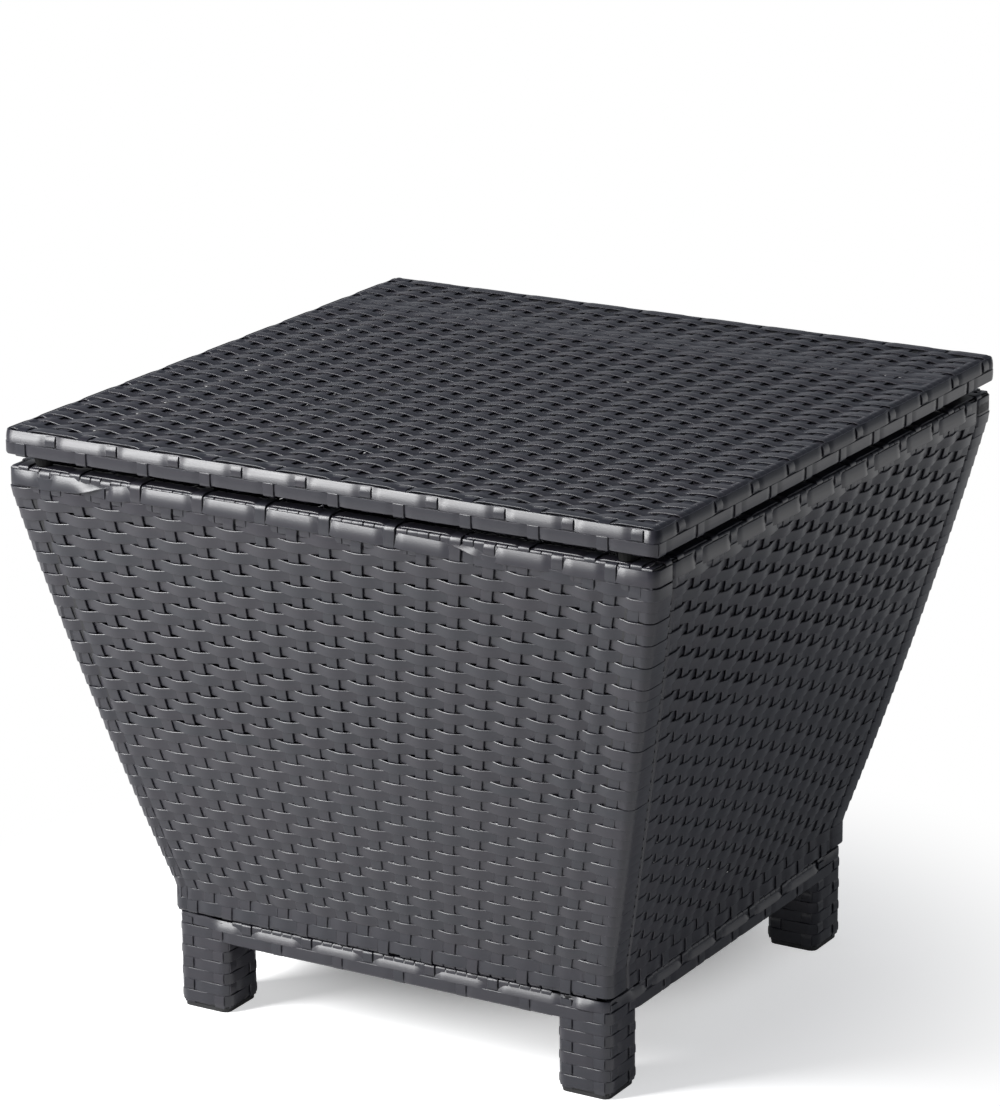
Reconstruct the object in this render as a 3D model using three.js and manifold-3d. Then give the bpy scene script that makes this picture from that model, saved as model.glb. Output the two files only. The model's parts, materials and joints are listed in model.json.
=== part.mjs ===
// Propane tank cover table: a tapered wicker cabinet without a floor, on a low base frame with
// four legs, closed by a loose wicker lid. Millimetres, +Z up, front face towards -Y.
// The origin is on the ground, under the middle of the table.

import * as THREE from 'three';
import { mergeVertices } from 'three/addons/utils/BufferGeometryUtils.js';
import Module from 'manifold-3d';

const wasm = await Module();
wasm.setup();

// Square steel tube and the woven skin on it
const TUBE = 18;
const TUBE_WALL = 1.2;
const STRIP = 1.2;
const SEAT = 0.3;
const COVER = 2 * STRIP;
const SKIN = COVER - SEAT;
const WRAPPED = TUBE + 2 * COVER;

// Outer sides of the woven sections, each measured over the skin. The rim and the base stand back
// a little from what lies on them.
const LID_SIDE = 600;
const LID_OVERHANG = 2;
const RIM_SIDE = LID_SIDE - 2 * LID_OVERHANG;
const SKIRT_SIDE = 419;
const SKIRT_OVERHANG = 2.5;
const BASE_SIDE = SKIRT_SIDE - 2 * SKIRT_OVERHANG;

// Heights
const LEG_HEIGHT = 62.2;
const BODY_HEIGHT = 398.3;
const BUMPER_HEIGHT = 6.7;

// Corners, the swell of the side panels and the corner posts
const CORNER_RADIUS = 8;
const PANEL_SWELL = 3.2;
const CORNER_POST = 24;
const WRAPPED_CORNER_POST = CORNER_POST + 2 * COVER;

// Legs and their end caps
const LEG_TUBE = 44;
const LEG_WALL = 1.5;
const WRAPPED_LEG = LEG_TUBE + 2 * COVER;
const CAP_LIP = 3.5;
const CAP_PLUG = 16;
const CAP_WALL = 2.5;

// Lid details
const CROSSBAR_SPACING = 190;
const BUMPER_DIAMETER = 17;
const BUMPER_FLARE = 1.5;
const BUMPER_INSET = 30;

// Bolts that draw the panels together at the corners and down on the base
const BOLT_DIAMETER = 6;
const BOLT_HEAD_DIAMETER = 11;
const BOLT_HEAD_HEIGHT = 3.4;
const BOLT_GRIP = 6;
const BOLT_CLEARANCE = 0.6;
const CORNER_BOLT_SHARES = [0.22, 0.84];

// Smoothness of the curved outlines, and how far a cutter runs past what it cuts
const SWELL_STEPS = 6;
const CORNER_STEPS = 3;
const ROUND_STEPS = 16;
const OVERRUN = 5;

// Heights that follow from the sizes above
const BASE_TOP = LEG_HEIGHT + WRAPPED;
const BODY_BOTTOM = BASE_TOP + SEAT;
const BODY_TOP = BODY_BOTTOM + BODY_HEIGHT;
const SKIRT_TOP = BODY_BOTTOM + WRAPPED;
const RIM_BOTTOM = BODY_TOP - WRAPPED;
const LID_BOTTOM = BODY_TOP + BUMPER_HEIGHT + 2 * SEAT;
const BOLT_LENGTH = TUBE + 2 * COVER + TUBE_WALL + BOLT_GRIP;

const PLACES = ['front', 'right', 'back', 'left'];
const CORNERS = [
  [-1, -1, 'front_left'],
  [1, -1, 'front_right'],
  [1, 1, 'back_right'],
  [-1, 1, 'back_left'],
];

function wickerMaterial() {
  return new THREE.MeshStandardMaterial({ color: 0x3a3b3e, roughness: 0.45, metalness: 0 });
}

function steelTubeMaterial() {
  return new THREE.MeshStandardMaterial({ color: 0x1d1d1f, roughness: 0.55, metalness: 0.3 });
}

function rubberMaterial() {
  return new THREE.MeshStandardMaterial({ color: 0x151515, roughness: 0.9, metalness: 0 });
}

function plasticMaterial() {
  return new THREE.MeshStandardMaterial({ color: 0x1a1a1b, roughness: 0.6, metalness: 0 });
}

function boltMaterial() {
  return new THREE.MeshStandardMaterial({ color: 0x8d8f92, roughness: 0.35, metalness: 1 });
}

// Booleans on closed meshes
function toSolid(geometry) {
  const bare = geometry.index ? geometry.clone() : geometry;
  bare.deleteAttribute('normal');
  bare.deleteAttribute('uv');
  const merged = mergeVertices(bare);
  return new wasm.Manifold(new wasm.Mesh({
    numProp: 3,
    vertProperties: new Float32Array(merged.attributes.position.array),
    triVerts: new Uint32Array(merged.index.array),
  }));
}

function toGeometry(solid) {
  const result = solid.getMesh();
  const geometry = new THREE.BufferGeometry();
  geometry.setAttribute('position', new THREE.BufferAttribute(result.vertProperties, 3));
  geometry.setIndex(new THREE.BufferAttribute(result.triVerts, 1));
  return geometry;
}

function cut(geometry, cutters) {
  let solid = toSolid(geometry);
  for (const cutter of cutters) {
    solid = solid.subtract(toSolid(cutter));
  }
  return toGeometry(solid);
}

function join(geometries) {
  let solid = toSolid(geometries[0]);
  for (const geometry of geometries.slice(1)) {
    solid = solid.add(toSolid(geometry));
  }
  return toGeometry(solid);
}

function overlapOf(geometry, other) {
  return toGeometry(toSolid(geometry).intersect(toSolid(other)));
}

// Outline of a rectangle from (x0, y0) to (x1, y1); radii are for its corners in the order
// low x and low y, high x and low y, high x and high y, low x and high y
function rectangle(x0, y0, x1, y1, radii = [0, 0, 0, 0]) {
  const corners = [
    [x0, y0, 1, 1],
    [x1, y0, -1, 1],
    [x1, y1, -1, -1],
    [x0, y1, 1, -1],
  ];
  const points = [];
  corners.forEach(([x, y, inX, inY], corner) => {
    const radius = radii[corner];
    if (radius <= 0) {
      points.push([x, y]);
      return;
    }
    const start = Math.PI + corner * Math.PI / 2;
    for (let step = 0; step <= CORNER_STEPS; step += 1) {
      const angle = start + (step / CORNER_STEPS) * (Math.PI / 2);
      points.push([
        x + inX * radius + radius * Math.cos(angle),
        y + inY * radius + radius * Math.sin(angle),
      ]);
    }
  });
  return points;
}

function square(side, radius = 0) {
  return rectangle(-side / 2, -side / 2, side / 2, side / 2, [radius, radius, radius, radius]);
}

// Closed solid through one outline per height; every outline has as many points
function loft(heights, outlineAt) {
  const rings = heights.map((height) => outlineAt(height));
  const count = rings[0].length;
  const positions = [];
  rings.forEach((ring, level) => {
    for (const [x, y] of ring) {
      positions.push(x, y, heights[level]);
    }
  });
  const indices = [];
  for (let level = 0; level + 1 < rings.length; level += 1) {
    for (let point = 0; point < count; point += 1) {
      const next = (point + 1) % count;
      const low = level * count;
      const high = low + count;
      indices.push(low + point, low + next, high + next);
      indices.push(low + point, high + next, high + point);
    }
  }
  const lid = THREE.ShapeUtils.triangulateShape(rings[0].map(([x, y]) => new THREE.Vector2(x, y)), []);
  const top = (rings.length - 1) * count;
  for (const [a, b, c] of lid) {
    indices.push(c, b, a);
    indices.push(top + a, top + b, top + c);
  }
  const geometry = new THREE.BufferGeometry();
  geometry.setAttribute('position', new THREE.Float32BufferAttribute(positions, 3));
  geometry.setIndex(indices);
  return geometry;
}

function prism(outline, low, high) {
  return loft([low, high], () => outline);
}

// Straight square tube along Z, open at both ends
function squareTube(side, wall, length) {
  const outline = new THREE.Shape(square(side).map(([x, y]) => new THREE.Vector2(x, y)));
  outline.holes.push(new THREE.Path(square(side - 2 * wall).map(([x, y]) => new THREE.Vector2(x, y))));
  const geometry = new THREE.ExtrudeGeometry(outline, { depth: length, bevelEnabled: false });
  geometry.translate(0, 0, -length / 2);
  return geometry;
}

function tubeAlongX(length) {
  return squareTube(TUBE, TUBE_WALL, length).rotateY(Math.PI / 2);
}

function tubeAlongY(length) {
  return squareTube(TUBE, TUBE_WALL, length).rotateX(Math.PI / 2);
}

function piece(name, geometry, material, position = [0, 0, 0]) {
  const mesh = new THREE.Mesh(geometry, material);
  mesh.name = name;
  mesh.position.set(...position);
  return mesh;
}

// Half of the body's outer side at a height: upright along the skirt and the rim, swollen between
function halfSide(height) {
  const share = THREE.MathUtils.clamp((height - SKIRT_TOP) / (RIM_BOTTOM - SKIRT_TOP), 0, 1);
  const taper = THREE.MathUtils.lerp(SKIRT_SIDE / 2, RIM_SIDE / 2, share);
  return taper + PANEL_SWELL * 4 * share * (1 - share);
}

function leanAt(height) {
  const span = (RIM_BOTTOM - SKIRT_TOP) / SWELL_STEPS;
  return Math.atan((halfSide(height + span / 2) - halfSide(height - span / 2)) / span);
}

// Heights where the body's outline is drawn, between two limits
function bodyLevels(low, high) {
  const levels = [low];
  for (let step = 0; step <= SWELL_STEPS; step += 1) {
    const height = THREE.MathUtils.lerp(SKIRT_TOP, RIM_BOTTOM, step / SWELL_STEPS);
    if (height > low + SEAT && height < high - SEAT) {
      levels.push(height);
    }
  }
  levels.push(high);
  return levels;
}

// Round head bolt along Z: the head's seat is at zero and the shank points down
function boltGeometry() {
  const outline = [
    [0, -BOLT_LENGTH],
    [BOLT_DIAMETER / 2, -BOLT_LENGTH],
    [BOLT_DIAMETER / 2, SEAT],
    [BOLT_HEAD_DIAMETER / 2, SEAT],
    [BOLT_HEAD_DIAMETER / 2, SEAT + BOLT_HEAD_HEIGHT / 2],
    [BOLT_HEAD_DIAMETER / 2 - BOLT_HEAD_HEIGHT / 2, SEAT + BOLT_HEAD_HEIGHT],
    [0, SEAT + BOLT_HEAD_HEIGHT],
  ];
  const geometry = new THREE.LatheGeometry(outline.map(([r, z]) => new THREE.Vector2(r, z)), ROUND_STEPS);
  return geometry.rotateX(Math.PI / 2);
}

function boltHole() {
  const length = BOLT_LENGTH + 2 * OVERRUN;
  const radius = (BOLT_DIAMETER + BOLT_CLEARANCE) / 2;
  const geometry = new THREE.CylinderGeometry(radius, radius, length, ROUND_STEPS);
  return geometry.rotateX(Math.PI / 2).translate(0, 0, OVERRUN - length / 2);
}

// Distance from the outer face of the side panels to the line of their corner bolts
const CORNER_BOLT_DEPTH = COVER + TUBE / 2;

// Distance from the outer face of the front panel back to the seat of a corner bolt's head
const CORNER_BOLT_SEAT = WRAPPED_CORNER_POST + SEAT + COVER + TUBE;

// Places of the corner bolts in the frame of a panel that faces -Y. Between the front and back
// panels a bolt runs outwards along X; in the wrapping panels the same bolt runs along -Y.
function cornerBoltPlaces(between) {
  const places = [];
  for (const side of [-1, 1]) {
    for (const share of CORNER_BOLT_SHARES) {
      const height = BODY_BOTTOM + share * BODY_HEIGHT;
      const seat = halfSide(height) - CORNER_BOLT_SEAT;
      const line = halfSide(height) - CORNER_BOLT_DEPTH;
      const lean = leanAt(height);
      const place = new THREE.Object3D();
      if (between) {
        place.position.set(side * seat, -line, height);
        place.rotation.y = -side * (Math.PI / 2 - lean);
      } else {
        place.position.set(side * line, -seat, height);
        place.rotation.x = -(Math.PI / 2 - lean);
      }
      place.updateMatrix();
      places.push({ side, share, place });
    }
  }
  return places;
}

// Place of the bolt that holds a panel down on the base, in the frame of a panel that faces -Y
function baseBoltPlace() {
  const place = new THREE.Object3D();
  place.position.set(0, -(BASE_SIDE - WRAPPED) / 2, BODY_BOTTOM + COVER + TUBE);
  place.updateMatrix();
  return place;
}

function holesAt(places) {
  return places.map((place) => boltHole().applyMatrix4(place.matrix));
}

// One wicker panel of the body, built facing -Y: two rails between two leaning posts, and the
// woven skin that covers them from outside, above, below and round the posts. Towards the inside
// the rails are bare. Left and right are as seen from outside the panel.
function buildPanel(name, wraps) {
  const group = new THREE.Group();
  const post = wraps ? CORNER_POST : TUBE;
  const inset = wraps ? 0 : WRAPPED_CORNER_POST + SEAT;
  const bend = wraps ? CORNER_RADIUS : 0;
  const wrappedPost = post + 2 * COVER;
  const cornerHoles = holesAt(cornerBoltPlaces(!wraps).map(({ place }) => place));
  const baseHoles = holesAt([baseBoltPlace()]);

  const across = (height) => halfSide(height) - inset;
  const block = (low, high, edge, back, radius) => loft(bodyLevels(low, high), (height) => rectangle(
    -(across(height) - edge),
    -(halfSide(height) - edge),
    across(height) - edge,
    -(halfSide(height) - back),
    [radius, radius, 0, 0],
  ));

  const outer = block(BODY_BOTTOM, BODY_TOP, 0, wrappedPost, bend);
  const hollow = block(
    BODY_BOTTOM + SKIN,
    BODY_TOP - SKIN,
    SKIN,
    wrappedPost - SKIN,
    Math.max(bend - SKIN, 0),
  );
  const openBack = loft(bodyLevels(BODY_BOTTOM - OVERRUN, BODY_TOP + OVERRUN), (height) => rectangle(
    -(across(height) - wrappedPost),
    -(halfSide(height) - WRAPPED + COVER),
    across(height) - wrappedPost,
    -(halfSide(height) - wrappedPost - OVERRUN),
  ));
  const skin = cut(outer, [hollow, openBack, ...cornerHoles, ...baseHoles]);
  group.add(piece(`${name}_panel_weave`, skin, wickerMaterial()));

  for (const [side, label] of [[-1, 'left'], [1, 'right']]) {
    const low = BODY_BOTTOM + COVER;
    const high = BODY_TOP - COVER;
    const round = Math.max(bend - COVER, 0);
    const section = (height, wall) => {
      const outside = side * (across(height) - COVER - wall);
      const inside = side * (across(height) - COVER - post + wall);
      const radius = Math.max(round - wall, 0);
      return rectangle(
        Math.min(outside, inside),
        -(halfSide(height) - COVER - wall),
        Math.max(outside, inside),
        -(halfSide(height) - COVER - post + wall),
        side < 0 ? [radius, 0, 0, 0] : [0, radius, 0, 0],
      );
    };
    const solidPost = loft(bodyLevels(low, high), (height) => section(height, 0));
    const bore = loft(
      bodyLevels(low - OVERRUN, high + OVERRUN),
      (height) => section(height, TUBE_WALL),
    );
    const geometry = cut(solidPost, [bore, ...cornerHoles]);
    group.add(piece(`${name}_panel_${label}_post`, geometry, steelTubeMaterial()));
  }

  const railDepth = COVER + TUBE / 2;
  const rails = [
    ['top', RIM_SIDE / 2, BODY_TOP - COVER - TUBE / 2, []],
    ['bottom', SKIRT_SIDE / 2, BODY_BOTTOM + COVER + TUBE / 2, baseHoles],
  ];
  for (const [label, half, height, holes] of rails) {
    const length = 2 * (half - inset - COVER - post - SEAT);
    const place = [0, -(half - railDepth), height];
    const tube = tubeAlongX(length).translate(...place);
    const geometry = holes.length ? cut(tube, holes) : tube;
    group.add(piece(`${name}_panel_${label}_rail`, geometry, steelTubeMaterial()));
  }
  return group;
}

// Four panels: the front and back ones wrap the corners, the left and right ones fit between
function buildBody() {
  const group = new THREE.Group();
  PLACES.forEach((name, turn) => {
    const between = turn % 2 === 1;
    const panel = buildPanel(name, !between);
    const bolt = boltGeometry();
    const baseBolt = piece(`${name}_base_bolt`, bolt, boltMaterial());
    baseBolt.position.copy(baseBoltPlace().position);
    panel.add(baseBolt);
    if (between) {
      for (const { side, share, place } of cornerBoltPlaces(true)) {
        const label = share === CORNER_BOLT_SHARES[0] ? 'lower' : 'upper';
        const end = (side > 0) === (name === 'right') ? 'back' : 'front';
        const cornerBolt = piece(`${end}_${name}_${label}_corner_bolt`, bolt.clone(), boltMaterial());
        cornerBolt.position.copy(place.position);
        cornerBolt.rotation.copy(place.rotation);
        panel.add(cornerBolt);
      }
    }
    panel.rotation.z = turn * Math.PI / 2;
    group.add(panel);
  });
  return group;
}

// Low frame that carries the body: four rails between four legs, all inside one woven cover
function buildBase() {
  const group = new THREE.Group();
  const legPlace = (BASE_SIDE - WRAPPED_LEG) / 2;
  const railPlace = (BASE_SIDE - WRAPPED) / 2;
  const railHeight = LEG_HEIGHT + WRAPPED / 2;
  const legTop = BASE_TOP - COVER;
  const legBottom = CAP_LIP + SEAT;
  const railGap = BASE_SIDE - 2 * (COVER + LEG_TUBE);
  const blocks = [];
  const hollows = [];
  const holes = [];
  PLACES.forEach((name, turn) => {
    const angle = turn * Math.PI / 2;
    const hole = boltHole().applyMatrix4(baseBoltPlace().matrix).rotateZ(angle);
    const rail = tubeAlongX(railGap - 2 * SEAT).translate(0, -railPlace, railHeight).rotateZ(angle);
    group.add(piece(`base_${name}_rail`, cut(rail, [hole]), steelTubeMaterial()));
    const reach = (BASE_SIDE - WRAPPED_LEG) / 2;
    const cover = (half, length) => prism(
      rectangle(-length, -half, length, half),
      railHeight - half,
      railHeight + half,
    ).translate(0, -railPlace, 0).rotateZ(angle);
    blocks.push(cover(WRAPPED / 2, reach));
    hollows.push(cover(WRAPPED / 2 - SKIN, reach));
    holes.push(hole);
  });

  for (const [sideX, sideY, label] of CORNERS) {
    const x = sideX * legPlace;
    const y = sideY * legPlace;
    const block = prism(square(WRAPPED_LEG, CORNER_RADIUS), legBottom, BASE_TOP);
    const hollow = prism(
      square(WRAPPED_LEG - 2 * SKIN, CORNER_RADIUS - SKIN),
      legBottom - OVERRUN,
      BASE_TOP - SKIN,
    );
    blocks.push(block.translate(x, y, 0));
    hollows.push(hollow.translate(x, y, 0));

    const outside = prism(square(LEG_TUBE, CORNER_RADIUS - COVER), legBottom, legTop);
    const bore = prism(
      square(LEG_TUBE - 2 * LEG_WALL, CORNER_RADIUS - COVER - LEG_WALL),
      legBottom - OVERRUN,
      legTop + OVERRUN,
    );
    group.add(piece(`${label}_leg`, cut(outside, [bore]), steelTubeMaterial(), [x, y, 0]));

    const plugSide = LEG_TUBE - 2 * LEG_WALL - 2 * SEAT;
    const plugRadius = CORNER_RADIUS - COVER - LEG_WALL - SEAT;
    const lip = prism(square(LEG_TUBE, CORNER_RADIUS - COVER), 0, CAP_LIP);
    const plug = prism(square(plugSide, plugRadius), CAP_LIP / 2, CAP_LIP + CAP_PLUG);
    const well = prism(square(plugSide - 2 * CAP_WALL, plugRadius), CAP_LIP, CAP_LIP + CAP_PLUG + OVERRUN);
    group.add(piece(`${label}_leg_cap`, cut(join([lip, plug]), [well]), plasticMaterial(), [x, y, 0]));
  }

  const weave = cut(join(blocks), [...hollows, ...holes]);
  group.add(piece('base_weave', weave, wickerMaterial()));
  return group;
}

// Loose lid: a welded tube frame with two crossbars, a woven top, a woven edge and four bumpers
function buildLid() {
  const group = new THREE.Group();
  const half = LID_SIDE / 2;
  const line = half - COVER - TUBE / 2;
  const middle = WRAPPED / 2;
  const inside = LID_SIDE - 2 * (COVER + TUBE + SEAT);

  const roundedEnds = prism(
    square(LID_SIDE - 2 * COVER, CORNER_RADIUS - COVER),
    -middle,
    middle,
  );
  for (const [side, label] of [[-1, 'front'], [1, 'back']]) {
    const tube = tubeAlongX(LID_SIDE - 2 * COVER).translate(0, side * line, 0);
    const geometry = overlapOf(tube, roundedEnds);
    group.add(piece(`lid_frame_${label}`, geometry, steelTubeMaterial(), [0, 0, middle]));
  }
  for (const [side, label] of [[-1, 'left'], [1, 'right']]) {
    const rail = tubeAlongY(inside);
    group.add(piece(`lid_frame_${label}`, rail, steelTubeMaterial(), [side * line, 0, middle]));
    const crossbar = tubeAlongY(inside);
    const place = [side * CROSSBAR_SPACING / 2, 0, middle];
    group.add(piece(`lid_crossbar_${label}`, crossbar, steelTubeMaterial(), place));
  }

  const sheet = prism(square(LID_SIDE - 2 * COVER, CORNER_RADIUS - COVER), WRAPPED - SKIN, WRAPPED);
  group.add(piece('lid_weave_top', sheet, wickerMaterial()));

  const band = prism(square(LID_SIDE, CORNER_RADIUS), 0, WRAPPED);
  const hollow = prism(square(LID_SIDE - 2 * SKIN, CORNER_RADIUS - SKIN), SKIN, WRAPPED + OVERRUN);
  const opening = prism(square(LID_SIDE - 2 * WRAPPED), -OVERRUN, WRAPPED);
  group.add(piece('lid_weave_edge', cut(band, [hollow, opening]), wickerMaterial()));

  const bumperOutline = [
    [0, 0],
    [BUMPER_DIAMETER / 2 - BUMPER_FLARE, 0],
    [BUMPER_DIAMETER / 2, BUMPER_HEIGHT],
    [0, BUMPER_HEIGHT],
  ];
  for (const [sideX, sideY, label] of CORNERS) {
    const profile = bumperOutline.map(([r, z]) => new THREE.Vector2(r, z));
    const bumper = new THREE.LatheGeometry(profile, ROUND_STEPS).rotateX(Math.PI / 2);
    const place = [
      sideX * (RIM_SIDE / 2 - BUMPER_INSET),
      sideY * (RIM_SIDE - WRAPPED) / 2,
      -SEAT - BUMPER_HEIGHT,
    ];
    group.add(piece(`lid_bumper_${label}`, bumper, rubberMaterial(), place));
  }

  group.position.z = LID_BOTTOM;
  return group;
}

const table = new THREE.Group();
table.add(buildBase());
table.add(buildBody());
table.add(buildLid());

export default table;
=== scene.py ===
"""Looks of the propane tank cover table: a tapered wicker cabinet on a low base, with a loose lid.

Metres in Blender, millimetres in the size fields. +Z up, front face towards -Y, the origin on
the ground under the middle. Every strip of the weave is a real ribbon that runs over and under.
"""

from __future__ import annotations

import json
import logging
import math
from dataclasses import dataclass, field
from enum import Enum

import bpy
import numpy as np
from mathutils import Matrix, Vector

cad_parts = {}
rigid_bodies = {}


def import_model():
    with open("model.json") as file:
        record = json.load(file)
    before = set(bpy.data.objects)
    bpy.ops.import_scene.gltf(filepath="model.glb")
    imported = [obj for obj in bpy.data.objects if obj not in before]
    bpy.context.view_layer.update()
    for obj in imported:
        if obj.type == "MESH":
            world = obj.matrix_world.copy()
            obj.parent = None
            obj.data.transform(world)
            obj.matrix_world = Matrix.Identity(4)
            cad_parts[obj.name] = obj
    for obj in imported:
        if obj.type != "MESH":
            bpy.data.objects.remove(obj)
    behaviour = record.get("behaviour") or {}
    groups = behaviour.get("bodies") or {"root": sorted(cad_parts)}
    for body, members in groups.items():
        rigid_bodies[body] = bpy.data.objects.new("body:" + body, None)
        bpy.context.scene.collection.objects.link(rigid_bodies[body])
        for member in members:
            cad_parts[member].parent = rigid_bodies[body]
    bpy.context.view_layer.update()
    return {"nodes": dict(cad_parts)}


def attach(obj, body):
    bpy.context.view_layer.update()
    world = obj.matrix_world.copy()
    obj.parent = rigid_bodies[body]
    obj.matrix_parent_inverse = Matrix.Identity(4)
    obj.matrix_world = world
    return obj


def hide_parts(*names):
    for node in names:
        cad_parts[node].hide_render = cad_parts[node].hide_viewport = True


log = logging.getLogger("propane_table")

MM = 0.001
CABINET = "cabinet"
LID = "lid"

# How far from a crossing strip's middle a band is fully pushed in, and is back out again, in mm.
DIP_CORE = 3.0
DIP_REACH = 13.0


# Small helpers


def linear(hex_colour: str) -> tuple[float, float, float, float]:
    """Turn an sRGB hex colour into a linear, opaque RGBA value.

    Args:
        hex_colour: Six hex digits with a leading hash.

    Returns:
        The linear colour with its alpha.
    """
    parts = [int(hex_colour[i : i + 2], 16) / 255 for i in (1, 3, 5)]
    lin = [c / 12.92 if c <= 0.04045 else ((c + 0.055) / 1.055) ** 2.4 for c in parts]
    return lin[0], lin[1], lin[2], 1.0


def smooth_step(values: np.ndarray | float) -> np.ndarray:
    """Ease from 0 to 1, flat at both ends."""
    share = np.clip(values, 0.0, 1.0)
    return share * share * (3 - 2 * share)


def band_dip(places: np.ndarray, dips: np.ndarray, reach: float = DIP_REACH) -> np.ndarray:
    """Say how far a band is pushed in: 1 under a strip that crosses over it, 0 away from it."""
    near = np.abs(places[:, None] - dips[None, :]).min(1)
    return 1 - smooth_step((near - DIP_CORE) / (reach - DIP_CORE))


def rounded_route(
    corners: list[tuple[float, float]], radii: float | list[float], steps: int = 3
) -> np.ndarray:
    """Follow straight legs with a rounded turn at every inner corner.

    Args:
        corners: The route's corner points in a plane; the first and last are its ends.
        radii: Radius of all the turns, or of each.
        steps: Straight pieces in each turn.

    Returns:
        The route's points, one row each.
    """
    turns = radii if isinstance(radii, list) else [radii] * (len(corners) - 2)
    points = [np.array(corners[0], float)]
    for before, here, after, radius in zip(corners, corners[1:], corners[2:], turns):
        a, b, c = (np.array(p, float) for p in (before, here, after))
        back = (a - b) / np.linalg.norm(a - b)
        ahead = (c - b) / np.linalg.norm(c - b)
        for share in np.linspace(0, 1, steps + 1):
            points.append(b + radius * (back * (1 - share) ** 2 + ahead * share**2))
    points.append(np.array(corners[-1], float))
    return np.array(points)


def quarter_turn(turns: int) -> np.ndarray:
    """Return the matrix that turns row vectors about Z by quarter turns."""
    c, s = [(1, 0), (0, 1), (-1, 0), (0, -1)][turns % 4]
    return np.array([[c, s, 0], [-s, c, 0], [0, 0, 1]], float)


def in_section(x: float, flat: np.ndarray) -> np.ndarray:
    """Put points of a section, given as distance to the front and height, at a place across."""
    return np.stack([np.full(len(flat), x), -flat[:, 0], flat[:, 1]], 1)


def ways_ahead(points: np.ndarray, closed: bool = False) -> np.ndarray:
    """Find the way ahead at each point.

    Args:
        points: The line's points.
        closed: Whether the line is a loop.

    Returns:
        One direction for each point, of any length.
    """
    if closed:
        return np.roll(points, -1, 0) - np.roll(points, 1, 0)
    return np.gradient(points, axis=0)


def square_to(points: np.ndarray, axis: int, closed: bool = False) -> np.ndarray:
    """Find the directions square to a line that runs in a plane.

    Args:
        points: The line's points.
        axis: The axis that the plane is square to.
        closed: Whether the line is a loop.

    Returns:
        One direction in the plane for each point, to the left of the way ahead.
    """
    ahead = ways_ahead(points, closed)
    first, second = [(1, 2), (0, 2), (0, 1)][axis]
    side = np.zeros_like(points)
    side[:, first] = -ahead[:, second]
    side[:, second] = ahead[:, first]
    return side


def away_from(centre: np.ndarray, points: np.ndarray, side: np.ndarray) -> np.ndarray:
    """Flip each direction that points towards a centre."""
    return side * np.sign(((points - centre) * side).sum(1))[:, None]


def square_loop(
    half: float,
    corner: tuple[float, float, float, float],
    along: np.ndarray,
    sides: list[tuple[np.ndarray, np.ndarray | float, np.ndarray | float]],
) -> tuple[np.ndarray, np.ndarray]:
    """Run a band round a square with rounded corners.

    Args:
        half: Half of the square's side.
        corner: Reach of the straight sides, and the corners' radius, height and lean in radians.
        along: Places along each side, from its middle.
        sides: Depth, height and lean along the front, right, back and left side.

    Returns:
        The loop's points and outward directions.
    """
    reach, radius, level, lean = corner
    angles = np.array([math.pi / 6, math.pi / 3])
    sin, cos = np.sin(angles), np.cos(angles)
    arc = np.stack([reach + radius * sin, -reach - radius * cos, np.full(2, level)], 1)
    flat = math.cos(lean)
    arc_out = np.stack([sin * flat, -cos * flat, np.full(2, math.sin(lean))], 1)
    points, outward = [], []
    for turn, (depth, height, tilt) in enumerate(sides):
        tilts = np.full_like(along, tilt)
        line = np.stack([along, -(half - depth), np.full_like(along, height)], 1)
        out = np.stack([np.zeros_like(along), -np.cos(tilts), np.sin(tilts)], 1)
        points.append(np.concatenate([line, arc]) @ quarter_turn(turn))
        outward.append(np.concatenate([out, arc_out]) @ quarter_turn(turn))
    return np.concatenate(points), np.concatenate(outward)


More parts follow.
